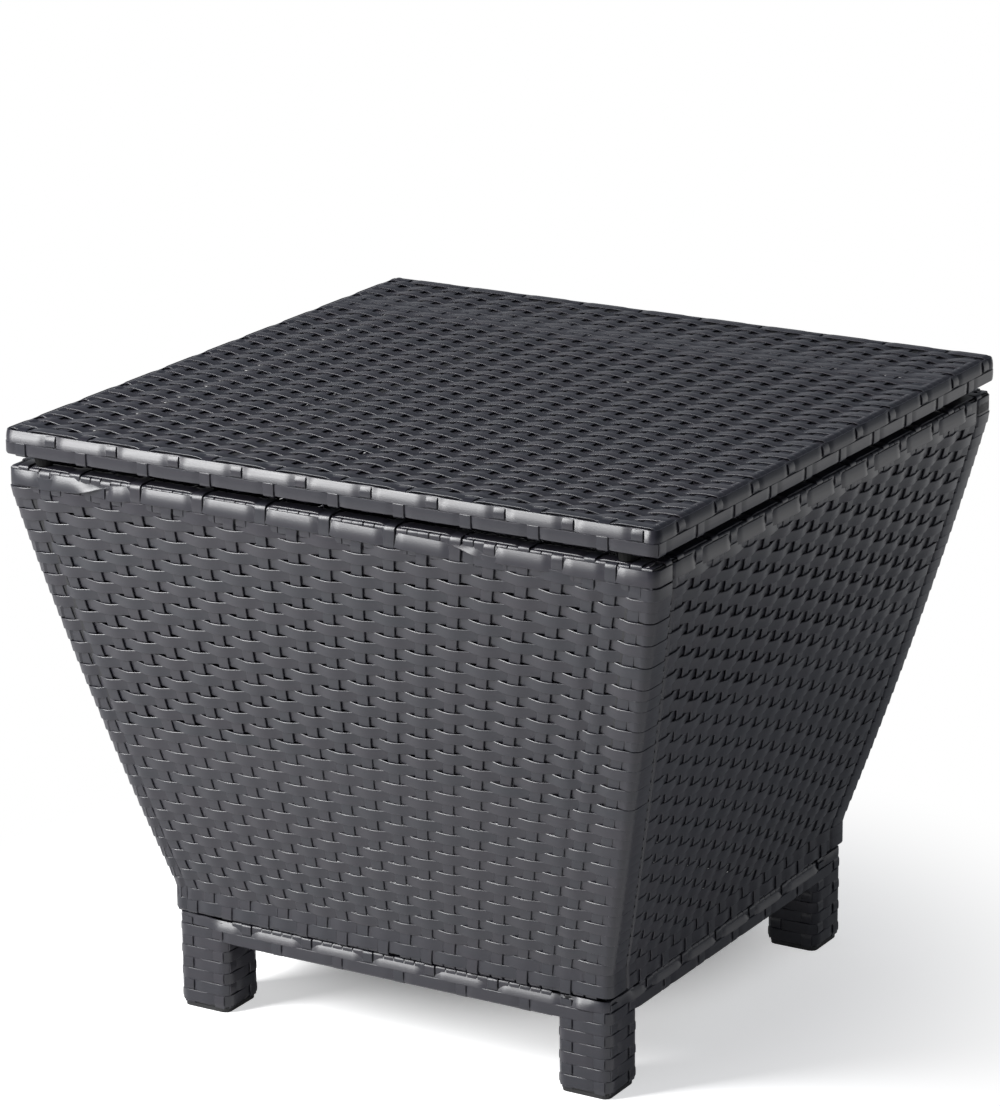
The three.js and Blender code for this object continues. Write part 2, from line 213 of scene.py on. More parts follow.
class Nodes:
    """Adds nodes to one tree, in short calls that return the new node's output."""

    def __init__(self, tree: bpy.types.NodeTree) -> None:
        """Take the tree that gets the nodes."""
        self.tree = tree

    def add(
        self, kind: str, inputs: dict[str | int, object] | None = None, **settings: object
    ) -> bpy.types.Node:
        """Add one node with its settings, values and links.

        Args:
            kind: Blender's name of the node type.
            inputs: Values or output sockets for the node's inputs, by name or number.
            settings: The node's own properties.

        Returns:
            The new node.
        """
        made = self.tree.nodes.new(kind)
        for name, value in settings.items():
            setattr(made, name, value)
        for key, value in (inputs or {}).items():
            if isinstance(value, bpy.types.NodeSocket):
                self.tree.links.new(value, made.inputs[key])
            else:
                made.inputs[key].default_value = value
        return made

    def out(
        self, kind: str, inputs: dict[str | int, object] | None = None, **settings: object
    ) -> bpy.types.NodeSocket:
        """Add one node and return its first output."""
        return self.add(kind, inputs, **settings).outputs[0]

    def math(self, operation: str, *values: object) -> bpy.types.NodeSocket:
        """Work out one step from numbers and sockets."""
        return self.out("ShaderNodeMath", dict(enumerate(values)), operation=operation)

    def ranged(
        self,
        value: bpy.types.NodeSocket,
        source: tuple[float, float] = (0.0, 1.0),
        target: tuple[float, float] = (0.0, 1.0),
        eased: bool = False,
    ) -> bpy.types.NodeSocket:
        """Map a value from one range on to another.

        Args:
            value: The value.
            source: Ends of the range that it comes from.
            target: Ends of the range that it goes to.
            eased: Whether the ends are smooth.

        Returns:
            The mapped value.
        """
        ends = {"From Min": source[0], "From Max": source[1]}
        ends |= {"To Min": target[0], "To Max": target[1]}
        shape = "SMOOTHSTEP" if eased else "LINEAR"
        return self.out("ShaderNodeMapRange", {"Value": value, **ends}, interpolation_type=shape)

    def noise(
        self, place: bpy.types.NodeSocket, scale: float, detail: float = 2.0
    ) -> bpy.types.NodeSocket:
        """Add a noise texture and return its value."""
        inputs = {"Vector": place, "Scale": scale, "Detail": detail}
        return self.add("ShaderNodeTexNoise", inputs).outputs["Fac"]

    def mix(self, factor: bpy.types.NodeSocket, first: str, second: str) -> bpy.types.NodeSocket:
        """Mix two sRGB hex colours."""
        inputs = {"Factor": factor, 6: linear(first), 7: linear(second)}
        return self.add("ShaderNodeMix", inputs, data_type="RGBA").outputs[2]

    def bump(
        self, height: bpy.types.NodeSocket, strength: float, distance_mm: float
    ) -> bpy.types.NodeSocket:
        """Turn a height into a normal."""
        inputs = {"Strength": strength, "Distance": distance_mm * MM, "Height": height}
        return self.out("ShaderNodeBump", inputs)


# Finishes


class Finish:
    """One material, made once and handed to each piece that has it."""

    name: str

    def build(self) -> bpy.types.Material:
        """Make the material, the first time.

        Returns:
            The material.
        """
        found = bpy.data.materials.get(self.name)
        if found is not None:
            return found
        material = bpy.data.materials.new(self.name)
        material.use_nodes = True
        material.node_tree.nodes.clear()
        nodes = Nodes(material.node_tree)
        nodes.add("ShaderNodeOutputMaterial", {"Surface": self.shade(nodes)})
        return material

    def shade(self, nodes: Nodes) -> bpy.types.NodeSocket:
        """Add the shader nodes and return the socket that holds the surface."""
        raise NotImplementedError


@dataclass(frozen=True)
class ResinWicker(Finish):
    """Extruded polyethylene strip, dyed black through and satin from the die.

    The die leaves fine lines along each strip, and each strip takes its own shade of charcoal,
    so the weave reads as separate ribbons. The crown across a strip gives it a soft highlight.
    """

    name: str = "pe_resin_wicker"
    dark: str = "#1c2027"
    light: str = "#2a262d"
    roughness: tuple[float, float] = (0.29, 0.42)
    ior: float = 1.51
    crown_mm: float = 0.12
    die_line_mm: float = 1.3
    line_stretch: float = 40.0
    strip_spread: float = 9.0
    cloud_scale: float = 14.0
    tone_share: float = 0.3
    half_width_mm: float = 4.8
    line_mm: float = 0.012
    lean: float = 0.0

    def shade(self, nodes: Nodes) -> bpy.types.NodeSocket:
        """Add the shader nodes.

        Args:
            nodes: Adds nodes to the material's tree.

        Returns:
            The shader's output socket.
        """
        strip = nodes.out("ShaderNodeUVMap", uv_map="StripUV")
        place = nodes.add("ShaderNodeSeparateXYZ", {"Vector": strip}).outputs
        tone = nodes.add("ShaderNodeAttribute", attribute_name="tone").outputs["Fac"]
        # Die lines are a few tenths of a millimetre apart; they are drawn 1.3 mm wide to show.
        stretched = nodes.out(
            "ShaderNodeCombineXYZ",
            {
                "X": place["X"],
                "Y": nodes.math("MULTIPLY", place["Y"], self.line_stretch),
                "Z": nodes.math("MULTIPLY", tone, self.strip_spread),
            },
        )
        lines = nodes.noise(stretched, 1 / (self.line_stretch * self.die_line_mm * MM), 3.0)
        cloud = nodes.noise(stretched, self.cloud_scale, 1.0)
        blend = nodes.math(
            "ADD",
            nodes.math("MULTIPLY", tone, self.tone_share),
            nodes.math("MULTIPLY", cloud, 1 - self.tone_share),
        )
        across = nodes.math("MULTIPLY", place["Y"], 1 / (self.half_width_mm * MM))
        square = nodes.math("MULTIPLY", across, across)
        # A strip over a tube's edge is pulled flat on one side and lifts on the other.
        leaning = nodes.math("MULTIPLY_ADD", across, -self.lean, square)
        drop = nodes.math("MULTIPLY", leaning, -1.0)
        height = nodes.math("MULTIPLY_ADD", lines, self.line_mm / self.crown_mm, drop)
        inputs = {
            "Base Color": nodes.mix(blend, self.dark, self.light),
            "Roughness": nodes.ranged(lines, target=self.roughness),
            "IOR": self.ior,
            "Normal": nodes.bump(height, 1.0, self.crown_mm),
        }
        return nodes.out("ShaderNodeBsdfPrincipled", inputs)


@dataclass(frozen=True)
class SolidFinish(Finish):
    """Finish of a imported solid: one colour clouded by a second, with a grain that catches light."""

    name: str
    colour: str
    clouded: str
    roughness: tuple[float, float]
    ior: float = 1.5
    metallic: float = 0.0
    specular: float = 0.5
    cloud_scale: float = 18.0
    cloud_detail: float = 2.0
    grain_mm: float = 0.0
    grain_depth_mm: float = 0.08
    grain_strength: float = 0.35
    eroded: bool = False

    def shade(self, nodes: Nodes) -> bpy.types.NodeSocket:
        """Add the shader nodes.

        Args:
            nodes: Adds nodes to the material's tree.

        Returns:
            The shader's output socket.
        """
        place = nodes.add("ShaderNodeTexCoord").outputs["Object"]
        if self.eroded:
            cells = {"Vector": place, "Scale": 1 / (self.grain_mm * MM)}
            cloud = grain = nodes.add("ShaderNodeTexVoronoi", cells).outputs["Distance"]
        else:
            cloud = nodes.noise(place, self.cloud_scale, self.cloud_detail)
            grain = nodes.noise(place, 1 / (self.grain_mm * MM)) if self.grain_mm else None
        rough = self.roughness[0]
        if self.roughness[0] != self.roughness[1]:
            rough = nodes.ranged(cloud, target=self.roughness)
        inputs = {
            "Base Color": nodes.mix(cloud, self.colour, self.clouded),
            "Metallic": self.metallic,
            "Roughness": rough,
            "IOR": self.ior,
            "Specular IOR Level": self.specular,
        }
        if grain is not None:
            inputs["Normal"] = nodes.bump(grain, self.grain_strength, self.grain_depth_mm)
        return nodes.out("ShaderNodeBsdfPrincipled", inputs)


# Square steel tube under a baked powder coat, matt black. Its orange peel is under a millimetre,
# and drawn 1.6 mm wide so that it shows.
COATED_STEEL = SolidFinish(
    "powder_coated_steel", "#1d1d1f", "#29292b", (0.55, 0.55), grain_mm=1.6
)
# Injection-moulded polypropylene end cap, black with a fine eroded grain.
CAP_PLASTIC = SolidFinish(
    "moulded_polypropylene",
    "#19191a",
    "#232324",
    (0.6, 0.6),
    ior=1.49,
    grain_mm=0.9,
    grain_depth_mm=0.06,
    grain_strength=0.3,
    eroded=True,
)
# Moulded EPDM rubber foot, dull black with a dusty bloom.
BUMPER_RUBBER = SolidFinish(
    "epdm_rubber",
    "#0c0c0c",
    "#161616",
    (0.88, 0.88),
    ior=1.52,
    specular=0.2,
    cloud_scale=260.0,
    cloud_detail=4.0,
)
# Cold-headed steel bolt with bright zinc plating, a little clouded by its passivation.
ZINC_BOLT = SolidFinish(
    "zinc_plated_steel",
    "#b9bbbe",
    "#9da0a5",
    (0.28, 0.44),
    metallic=1.0,
    cloud_scale=420.0,
    cloud_detail=3.0,
)


@dataclass(frozen=True)
class StudioPaper(Finish):
    """White paper sweep that the table stands on.

    Near the table it is lit paper that keeps the shadow, lightened by a painted glow; deep under
    the cabinet the glow is left out, as painted shade. Further off it turns to even white.
    """

    name: str = "studio_paper"
    colour: str = "#f7f7f7"
    # Painted light: the strength of the paper's glow, and below it the glow's share for gloss.
    lift: float = 0.55
    mirrored_painted_glow: float = 0.2
    # Painted shade: the glow is left out round this place under the cabinet.
    painted_shade_place: tuple[float, float, float] = (0.07, -0.11, 0.0)
    painted_shade_edge: tuple[float, float] = (0.1, 0.28)
    seen_edge: tuple[float, float] = (0.2, 0.58)
    mirrored_edge: tuple[float, float] = (1.1, 2.0)

    def shade(self, nodes: Nodes) -> bpy.types.NodeSocket:
        """Add the shader nodes.

        Args:
            nodes: Adds nodes to the material's tree.

        Returns:
            The shader's output socket.
        """
        matt = nodes.out("ShaderNodeBsdfDiffuse", {"Color": linear(self.colour), "Roughness": 0.0})
        path = nodes.add("ShaderNodeLightPath").outputs
        shown = nodes.math("MAXIMUM", path["Is Camera Ray"], path["Is Transmission Ray"])
        glossy = path["Is Glossy Ray"]
        place = nodes.add("ShaderNodeTexCoord").outputs["Object"]
        # Painted shade: deep under the cabinet the painted glow is left out, so the paper there shows
        # darker.
        inputs = {0: place, 1: self.painted_shade_place}
        shifted = nodes.out("ShaderNodeVectorMath", inputs, operation="ADD")
        distances = [
            nodes.add("ShaderNodeVectorMath", {0: where}, operation="LENGTH").outputs["Value"]
            for where in (shifted, place)
        ]
        outside = nodes.ranged(distances[0], self.painted_shade_edge, (0.0, self.lift), eased=True)
        # Painted light: the paper glows for the camera, and more dimly for gloss, which lightens its
        # shadow.
        painted_glow_rays = nodes.math("MAXIMUM", shown, nodes.math("MULTIPLY", glossy, self.mirrored_painted_glow))
        painted_glow_strength = nodes.math("MULTIPLY", painted_glow_rays, outside)
        painted_glow = nodes.out("ShaderNodeEmission", {"Strength": painted_glow_strength})
        lit = nodes.out("ShaderNodeAddShader", {0: matt, 1: painted_glow})
        # The white starts nearer for what is seen than for what gloss mirrors of it.
        whiter = nodes.math(
            "MAXIMUM",
            *(
                nodes.math("MULTIPLY", nodes.ranged(distances[1], edge, eased=True), ray)
                for ray, edge in ((shown, self.seen_edge), (glossy, self.mirrored_edge))
            ),
        )
        white = nodes.out("ShaderNodeEmission", {"Strength": 1.0})
        return nodes.out("ShaderNodeMixShader", {0: whiter, 1: lit, 2: white})


# Strips


@dataclass
class Strands:
    """Centre lines of strips of one width, in millimetres, with the side that faces out."""

    points: list[np.ndarray] = field(default_factory=list)
    outward: list[np.ndarray] = field(default_factory=list)
    closed: list[bool] = field(default_factory=list)

    def add(self, points: np.ndarray, outward: np.ndarray, closed: bool = False) -> None:
        """Take one more centre line, and square its outward side to its direction.

        Args:
            points: The line's points, one row each.
            outward: Rough outward direction at each point.
            closed: Whether the line is a loop.
        """
        ahead = ways_ahead(points, closed)
        ahead = ahead / np.linalg.norm(ahead, axis=1)[:, None]
        side = outward - (outward * ahead).sum(1)[:, None] * ahead
        side = side / np.linalg.norm(side, axis=1)[:, None]
        self.points.append(points)
        self.outward.append(side)
        self.closed.append(closed)

    def turned(self, *quarter_turns: int) -> Strands:
        """Turn the lines about Z.

        Args:
            quarter_turns: Numbers of quarter turns.

        Returns:
            All the lines, once for each number.
        """
        made = Strands()
        for turn in map(quarter_turn, quarter_turns):
            made.points += [points @ turn for points in self.points]
            made.outward += [outward @ turn for outward in self.outward]
            made.closed += self.closed
        return made

    def mesh(self, name: str) -> bpy.types.Mesh:
        """Make a wire mesh of the lines, in metres, with the outward sides as an attribute.

        Args:
            name: The mesh's name.

        Returns:
            The wire mesh.
        """
        edges = []
        start = 0
        for line, closed in zip(self.points, self.closed):
            count = len(line)
            edges += [(start + i, start + i + 1) for i in range(count - 1)]
            if closed:
                edges.append((start + count - 1, start))
            start += count
        wire = bpy.data.meshes.new(name)
        wire.from_pydata(np.concatenate(self.points) * MM, edges, [])
        side = wire.attributes.new("outward", "FLOAT_VECTOR", "POINT")
        side.data.foreach_set("vector", np.concatenate(self.outward).astype(np.float32).ravel())
        return wire


@dataclass(frozen=True)
class StripSize:
    """Section of one piece's strips in millimetres: the crown is how far the edges bend back."""

    width: float
    thickness: float
    crown: float = 0.0
    edge_share: float = 0.3


class StripMaker:
    """Sweeps the flat strip's section along centre lines with Geometry Nodes."""

    crisp_angle: float = 0.65
    inputs: dict[str, str] = {
        "Centre Lines": "Geometry",
        "Strip Width": "Float",
        "Strip Thickness": "Float",
        "Edge Radius": "Float",
        "Crown": "Float",
        "Crown Cuts": "Int",
        "Seed": "Int",
        "Finish": "Material",
    }

    def __init__(self) -> None:
        """Build the tree once."""
        self.tree = bpy.data.node_groups.new("strip_sweep", "GeometryNodeTree")
        self.nodes = Nodes(self.tree)
        self.ids: dict[str, str] = {}
        for name, kind in self.inputs.items():
            made = self.tree.interface.new_socket(
                name=name, in_out="INPUT", socket_type=f"NodeSocket{kind}"
            )
            self.ids[name] = made.identifier
        self.tree.interface.new_socket(
            name="Strips", in_out="OUTPUT", socket_type="NodeSocketGeometry"
        )
        self._build()

    def _capture(
        self, geometry: bpy.types.NodeSocket, name: str, value: bpy.types.NodeSocket
    ) -> tuple[bpy.types.NodeSocket, bpy.types.NodeSocket]:
        """Capture a value at each point.

        Args:
            geometry: The geometry that carries the value.
            name: The captured value's name.
            value: The value.

        Returns:
            The geometry and the captured value.
        """
        node = self.nodes.add("GeometryNodeCaptureAttribute", domain="POINT")
        node.capture_items.new("FLOAT", name)
        self.tree.links.new(geometry, node.inputs["Geometry"])
        self.tree.links.new(value, node.inputs[name])
        return node.outputs["Geometry"], node.outputs[name]

    def _section(
        self, given: bpy.types.NodeOutputs
    ) -> tuple[bpy.types.NodeSocket, bpy.types.NodeSocket]:
        """Make the strip's section.

        Args:
            given: The tree's inputs.

        Returns:
            The section's curve and the place across it.
        """
        nodes = self.nodes
        section = nodes.out(
            "GeometryNodeCurvePrimitiveQuadrilateral",
            {"Width": given["Strip Thickness"], "Height": given["Strip Width"]},
        )
        eased = nodes.add(
            "GeometryNodeFilletCurve", {"Curve": section, "Radius": given["Edge Radius"]}
        )
        if "Mode" in eased.inputs:
            eased.inputs["Mode"].default_value = "Poly"
        else:
            eased.mode = "POLY"
        eased.inputs["Count"].default_value = 1
        finer = nodes.out(
            "GeometryNodeSubdivideCurve", {"Curve": eased.outputs[0], "Cuts": given["Crown Cuts"]}
        )
        here = nodes.out("GeometryNodeInputPosition")
        across = nodes.add("ShaderNodeSeparateXYZ", {"Vector": here}).outputs["Y"]
        # The crown bends the section back towards its edges: full depth at half the width.
        share = nodes.math("DIVIDE", across, given["Strip Width"])
        depth = nodes.math("MULTIPLY", nodes.math("MULTIPLY", share, share), given["Crown"])
        offset = nodes.out("ShaderNodeCombineXYZ", {"X": nodes.math("MULTIPLY", depth, -4.0)})
        crowned = nodes.out("GeometryNodeSetPosition", {"Geometry": finer, "Offset": offset})
        return self._capture(crowned, "Across", across)

    def _build(self) -> None:
        """Add the tree's nodes, from the centre lines to the finished strips."""
        nodes = self.nodes
        given = nodes.add("NodeGroupInput").outputs
        curve = nodes.out("GeometryNodeMeshToCurve", {"Mesh": given["Centre Lines"]})
        side = nodes.out(
            "GeometryNodeInputNamedAttribute", {"Name": "outward"}, data_type="FLOAT_VECTOR"
        )
        faced = nodes.out(
            "GeometryNodeSetCurveNormal", {"Curve": curve, "Normal": side}, mode="FREE"
        )
        # Each strip draws its own shade.
        number = nodes.out("GeometryNodeInputIndex")
        shade = nodes.add(
            "FunctionNodeRandomValue", {"ID": number, "Seed": given["Seed"]}, data_type="FLOAT"
        )
        toned = nodes.out(
            "GeometryNodeStoreNamedAttribute",
            {"Geometry": faced, "Name": "tone", "Value": shade.outputs[1]},
            data_type="FLOAT",
            domain="CURVE",
        )
        length = nodes.add("GeometryNodeSplineParameter").outputs["Length"]
        measured, along = self._capture(toned, "Along", length)
        section, across = self._section(given)
        swept = nodes.out(
            "GeometryNodeCurveToMesh",
            {"Curve": measured, "Profile Curve": section, "Fill Caps": True},
        )
        flat = nodes.out("ShaderNodeCombineXYZ", {"X": along, "Y": across})
        mapped = nodes.out(
            "GeometryNodeStoreNamedAttribute",
            {"Geometry": swept, "Name": "StripUV", "Value": flat},
            data_type="FLOAT2",
            domain="CORNER",
        )
        # The long edges of a strip stay crisp, and it bends smoothly along its length.
        angle = nodes.add("GeometryNodeInputMeshEdgeAngle").outputs["Unsigned Angle"]
        gentle = nodes.out(
            "FunctionNodeCompare",
            {0: angle, 1: self.crisp_angle},
            data_type="FLOAT",
            operation="LESS_THAN",
        )
        rounded = nodes.out(
            "GeometryNodeSetShadeSmooth", {0: mapped, "Shade Smooth": gentle}, domain="EDGE"
        )
        dressed = nodes.out(
            "GeometryNodeSetMaterial", {"Geometry": rounded, "Material": given["Finish"]}
        )
        real = nodes.out("GeometryNodeRealizeInstances", {"Geometry": dressed})
        nodes.add("NodeGroupOutput", {0: real})

    def make(
        self,
        name: str,
        strands: Strands,
        size: StripSize,
        finish: Finish,
        seed: int,
        body: str,
        node: str,
    ) -> None:
        """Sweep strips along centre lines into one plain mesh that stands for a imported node.

        Args:
            name: The piece's name.
            strands: The centre lines, in millimetres.
            size: The strips' section.
            finish: The strips' finish.
            seed: Seed of the strips' shades.
            body: The body that the piece rides on.
            node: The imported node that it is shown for.
        """
        wire = bpy.data.objects.new(f"{name}_lines", strands.mesh(f"{name}_lines"))
        bpy.context.scene.collection.objects.link(wire)
        maker = wire.modifiers.new("strips", "NODES")
        maker.node_group = self.tree
        maker[self.ids["Strip Width"]] = size.width * MM
        maker[self.ids["Strip Thickness"]] = size.thickness * MM
        maker[self.ids["Edge Radius"]] = size.edge_share * size.thickness * MM
        maker[self.ids["Crown"]] = size.crown * MM
        maker[self.ids["Crown Cuts"]] = 2 if size.crown else 0
        maker[self.ids["Seed"]] = seed
        maker[self.ids["Finish"]] = finish.build()
        graph = bpy.context.evaluated_depsgraph_get()
        mesh = bpy.data.meshes.new_from_object(wire.evaluated_get(graph))
        bpy.data.objects.remove(wire)
        mesh.name = name
        if "outward" in mesh.attributes:
            mesh.attributes.remove(mesh.attributes["outward"])
        piece = bpy.data.objects.new(name, mesh)
        bpy.context.scene.collection.objects.link(piece)
        log.info("%s: %d strips, %d faces", name, len(strands.points), len(mesh.polygons))
        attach(piece, body)
        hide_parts(node)


@dataclass(frozen=True)
class Weave:
    """Sizes that all the woven sections share, in millimetres."""

    thickness: float = 1.25
    weft_thickness: float = 1.2
    weft_width: float = 10.0
    low_weft_width: float = 10.45
    stake_width: float = 9.9
    weft_rise: float = 1.55
    weft_lift: float = 0.7
    stake_rise: float = 0.3
    row_pitch: float = 9.8
    under_share: float = 1.55
    gap: float = 0.1

    @property
    def skin(self) -> float:
        """Depth of the centre of a strip that lies outermost."""
        return self.thickness / 2

    @property
    def weft_skin(self) -> float:
        """Depth of the centre of a row where it lies outermost."""
        return self.weft_thickness / 2

    @property
    def under(self) -> float:
        """Depth of the centre of a strip that lies under another on a tube."""
        return self.under_share * self.thickness

    def sunk(self, phase: np.ndarray) -> np.ndarray:
        """Say how far a row has gone down: 0 over a stake (even phase), 1 under one (odd)."""
        share = (1 - np.cos(math.pi * phase)) / 2
        return 1 - (1 - np.clip(1.1 * share, 0, 1)) ** 1.5

    def dipped(
        self, places: np.ndarray, dips: np.ndarray, reach: float = DIP_REACH
    ) -> np.ndarray:
        """Depth of a band that lies under the strips that cross it, and outermost between."""
        return self.skin + (self.under - self.skin) * band_dip(places, dips, reach)

    def pressed(self, places: np.ndarray, dips: np.ndarray) -> np.ndarray:
        """Depth of a row that lies outermost, pressed in where strips cross over it."""
        return self.weft_skin + (self.thickness + self.gap) * band_dip(places, dips)


# Cabinet


class Side(Enum):
    """A side of the table, by its quarter turns from the front."""

    FRONT = 0
    RIGHT = 1
    BACK = 2
    LEFT = 3


@dataclass(frozen=True)
class BodyShape:
    """The cabinet's outer face: upright at the skirt and the rim, leaning and swollen between."""

    rim_half: float = 298.0
    skirt_half: float = 209.5
    bottom: float = 85.3
    top: float = 483.6
    band: float = 22.8
    swell: float = 3.2
    fineness: int = 800

    def half_side(self, z: np.ndarray) -> np.ndarray:
        """Find half of the outer side.

        Args:
            z: Height above the ground.

        Returns:
            Half of the side at that height.
        """
        low = self.bottom + self.band
        high = self.top - self.band
        share = np.clip((z - low) / (high - low), 0, 1)
        taper = self.skirt_half + (self.rim_half - self.skirt_half) * share
        return taper + self.swell * 4 * share * (1 - share)

    def table(self) -> tuple[np.ndarray, np.ndarray, np.ndarray]:
        """Follow the face up in fine steps.

        Returns:
            Way up the face, height and half side.
        """
        z = np.linspace(self.bottom, self.top, self.fineness)
        half = self.half_side(z)
        way = np.concatenate([[0], np.cumsum(np.hypot(np.diff(z), np.diff(half)))])
        return way, z, half

    @property
    def length(self) -> float:
        """The way up the whole face."""
        return float(self.table()[0][-1])

    def at(self, way: np.ndarray) -> tuple[np.ndarray, np.ndarray, np.ndarray, np.ndarray]:
        """Find a place on the face.

        Args:
            way: Way up the face from its bottom edge.

        Returns:
            Height, half side, and the outward direction's parts outwards and upwards.
        """
        ways, z, half = self.table()
        rise = np.interp(way, ways, np.gradient(z, ways))
        lean = np.interp(way, ways, np.gradient(half, ways))
        size = np.hypot(rise, lean)
        return np.interp(way, ways, z), np.interp(way, ways, half), rise / size, -lean / size


@dataclass
class Panel:
    """One wicker panel of the cabinet, built facing -Y and then turned to its side.

    The front and back panels wrap round their corner posts, and the left and right ones fit
    between them.
    """

    side: Side
    slants: tuple[float, ...]
    bulge: float
    tight_row: int
    tight_share: float
    seed: int
    weave: Weave = Weave()
    shape: BodyShape = BodyShape()
    rows: int = 41
    top_margin: float = 9.1
    corner_radius: float = 8.0
    tube_radius: float = 3.2
    rim_turn: float = 1.9
    loose_turn: float = 4.6
    stake_ends: tuple[float, float] = (5.2, 7.2)
    first_row_tilt: float = 0.1
    first_row_width: float = 13.0
    first_row_place: float = 9.9
    first_row_step: float = 2.4
    first_middle: tuple[int, int] = (3, 14)
    tucks: tuple[float, float] = (-195.0, 118.0)
    tuck_length: float = 42.0
    tuck_rise: float = 6.3
    tuck_depth: float = 3.2
    tuck_end: tuple[float, float] = (1.6, 7.0)
    tuck_tilt: float = 1.1
    middle_lift: float = 2.4
    middle_climb: float = 30.0
    middle_limit: float = 1.0
    middle_end: tuple[float, float] = (1.4, 4.0)
    rim_row_place: float = 8.9
    rim_row_reach: float = 12.0
    wrapped_corner_post: float = 28.8
    wrapped_post: float = 22.8
    post_gap: float = 0.2
    post_tail: float = 1.0
    post_strip: float = 8.6
    post_strip_length: float = 12.0
    wrap_pitch: float = 9.9
    wrap_width: float = 9.4
    rail_lead: float = 5.0
    rail_tail: float = 3.0
    bolt_reach: float = 9.0
    skirt_gap: float = 0.6
    seam: float = 0.3
    column_drift: float = 0.00034
    column_shift: float = -0.036
    wobble: float = 0.25
    wobble_length: float = 61.0
    calm_share: float = 0.4
    row_shift: float = 0.12
    row_push: float = 0.05
    end_reach: float = 1.0
    corner_gap: float = 0.4
    subdivisions: int = 6

    @property
    def wraps(self) -> bool:
        """Whether the panel wraps round its corner posts."""
        return self.side in (Side.FRONT, Side.BACK)

    @property
    def corner(self) -> float:
        """Radius of the corner that the rows turn round."""
        return self.corner_radius if self.wraps else self.tube_radius

    def inset(self) -> float:
        """Distance from the body's corner to the panel's edge."""
        return 0.0 if self.wraps else self.wrapped_corner_post + self.seam

    def columns(self) -> np.ndarray:
        """Find the stakes' places at the rim.

        Returns:
            Shares of the panel's half width.
        """
        if self.wraps:
            inner = 0.020 + 0.0995 * np.arange(-9, 8)
            return np.concatenate([[-0.9475], inner, [0.808, 0.870, 0.940]])
        even = np.linspace(-0.944, 0.944, 18)
        return even + self.column_shift * (1 - even**4)

    def drift(self, share: np.ndarray) -> np.ndarray:
        """Say how far stakes lean to the left per millimetre down.

        Args:
            share: Place across the rim, as a share of the half width.

        Returns:
            The lean, as a share of the half width.
        """
        if not self.wraps:
            return np.zeros_like(share)
        return self.column_drift * np.sqrt(np.clip(0.91 - share**2, 0, 1)) * (1 + 0.35 * share)

    def column_x(self, column: np.ndarray, way: np.ndarray) -> np.ndarray:
        """Find a stake across the panel.

        Args:
            column: Stake number, whole or between two stakes.
            way: Way up the face.

        Returns:
            Distance from the panel's middle.
        """
        places = self.columns()
        share = np.interp(column, np.arange(len(places)), places)
        width = self.shape.at(way)[1] - self.inset()
        return width * (share - self.drift(share) * (self.shape.length - way))

    def row_way(self, row: float | np.ndarray, x: float | np.ndarray) -> float | np.ndarray:
        """Find a row on the way up the face; rows slope a little and rise in their middle.

        Args:
            row: Row number from the rim down.
            x: Distance from the panel's middle.

        Returns:
            Way up the face.
        """
        level = self.shape.length - self.top_margin - self.weave.row_pitch * row
        share = np.clip(level / self.shape.length, 0, 1)
        slant = np.interp(share, (0.0, 0.25, 0.5, 0.7, 1.0), self.slants)
        middle = 1 - (x / self.shape.at(level)[1]) ** 2
        return level + slant * x + self.bulge * share**1.4 * middle

    def crossings(
        self, column: np.ndarray, row: float | np.ndarray, way: np.ndarray
    ) -> tuple[np.ndarray, np.ndarray]:
        """Settle on where stakes and rows cross, since each depends on the other.

        Args:
            column: Stake number.
            row: Row number.
            way: First guess of the way up the face.

        Returns:
            Distance from the panel's middle, and way up the face.
        """
        for _ in range(2):
            x = self.column_x(column, way)
            way = self.row_way(row, x)
        return x, way

    def first_row_at(self, column: int) -> int:
        """Say which row is the topmost at a stake: the rows' middles rise up to the rim."""
        low, high = self.first_middle
        return 1 if self.wraps and low < column <= high else 0

    def place(self, x: np.ndarray, way: np.ndarray, depth: np.ndarray) -> np.ndarray:
        """Turn a place on the face into a point, at a depth behind the outermost surface."""
        height, half, out, up = self.shape.at(way)
        return np.stack([x, -(half - depth * out), height - depth * up], 1)

    def swings(self, row: float | np.ndarray) -> tuple[np.ndarray, np.ndarray, np.ndarray]:
        """Say how strips swing in and out at a row: less on the rails, where a tube lies behind.

        Args:
            row: Row number, whole or between rows.

        Returns:
            Depth of the middle, swing of the rows and swing of the stakes.
        """
        weave = self.weave
        last = self.rows - 1
        tight = self.tight_row
        rise, low = weave.weft_rise, weave.weft_rise * self.tight_share
        deep, shallow = weave.weft_skin + rise, weave.weft_skin + low
        rows = [0, 1, 2, tight - 2, tight, last - 2, last - 1, last]
        middle = [1.4, 1.75, deep, deep, shallow, shallow, 1.8, 1.75]
        weft = [0.6, 0.95, rise, rise, low, low, 1.0, 0.95]
        stake = [0.75, 0.5] + [weave.stake_rise] * 4 + [0.45, 0.5]
        return tuple(np.interp(row, rows, values) for values in (middle, weft, stake))

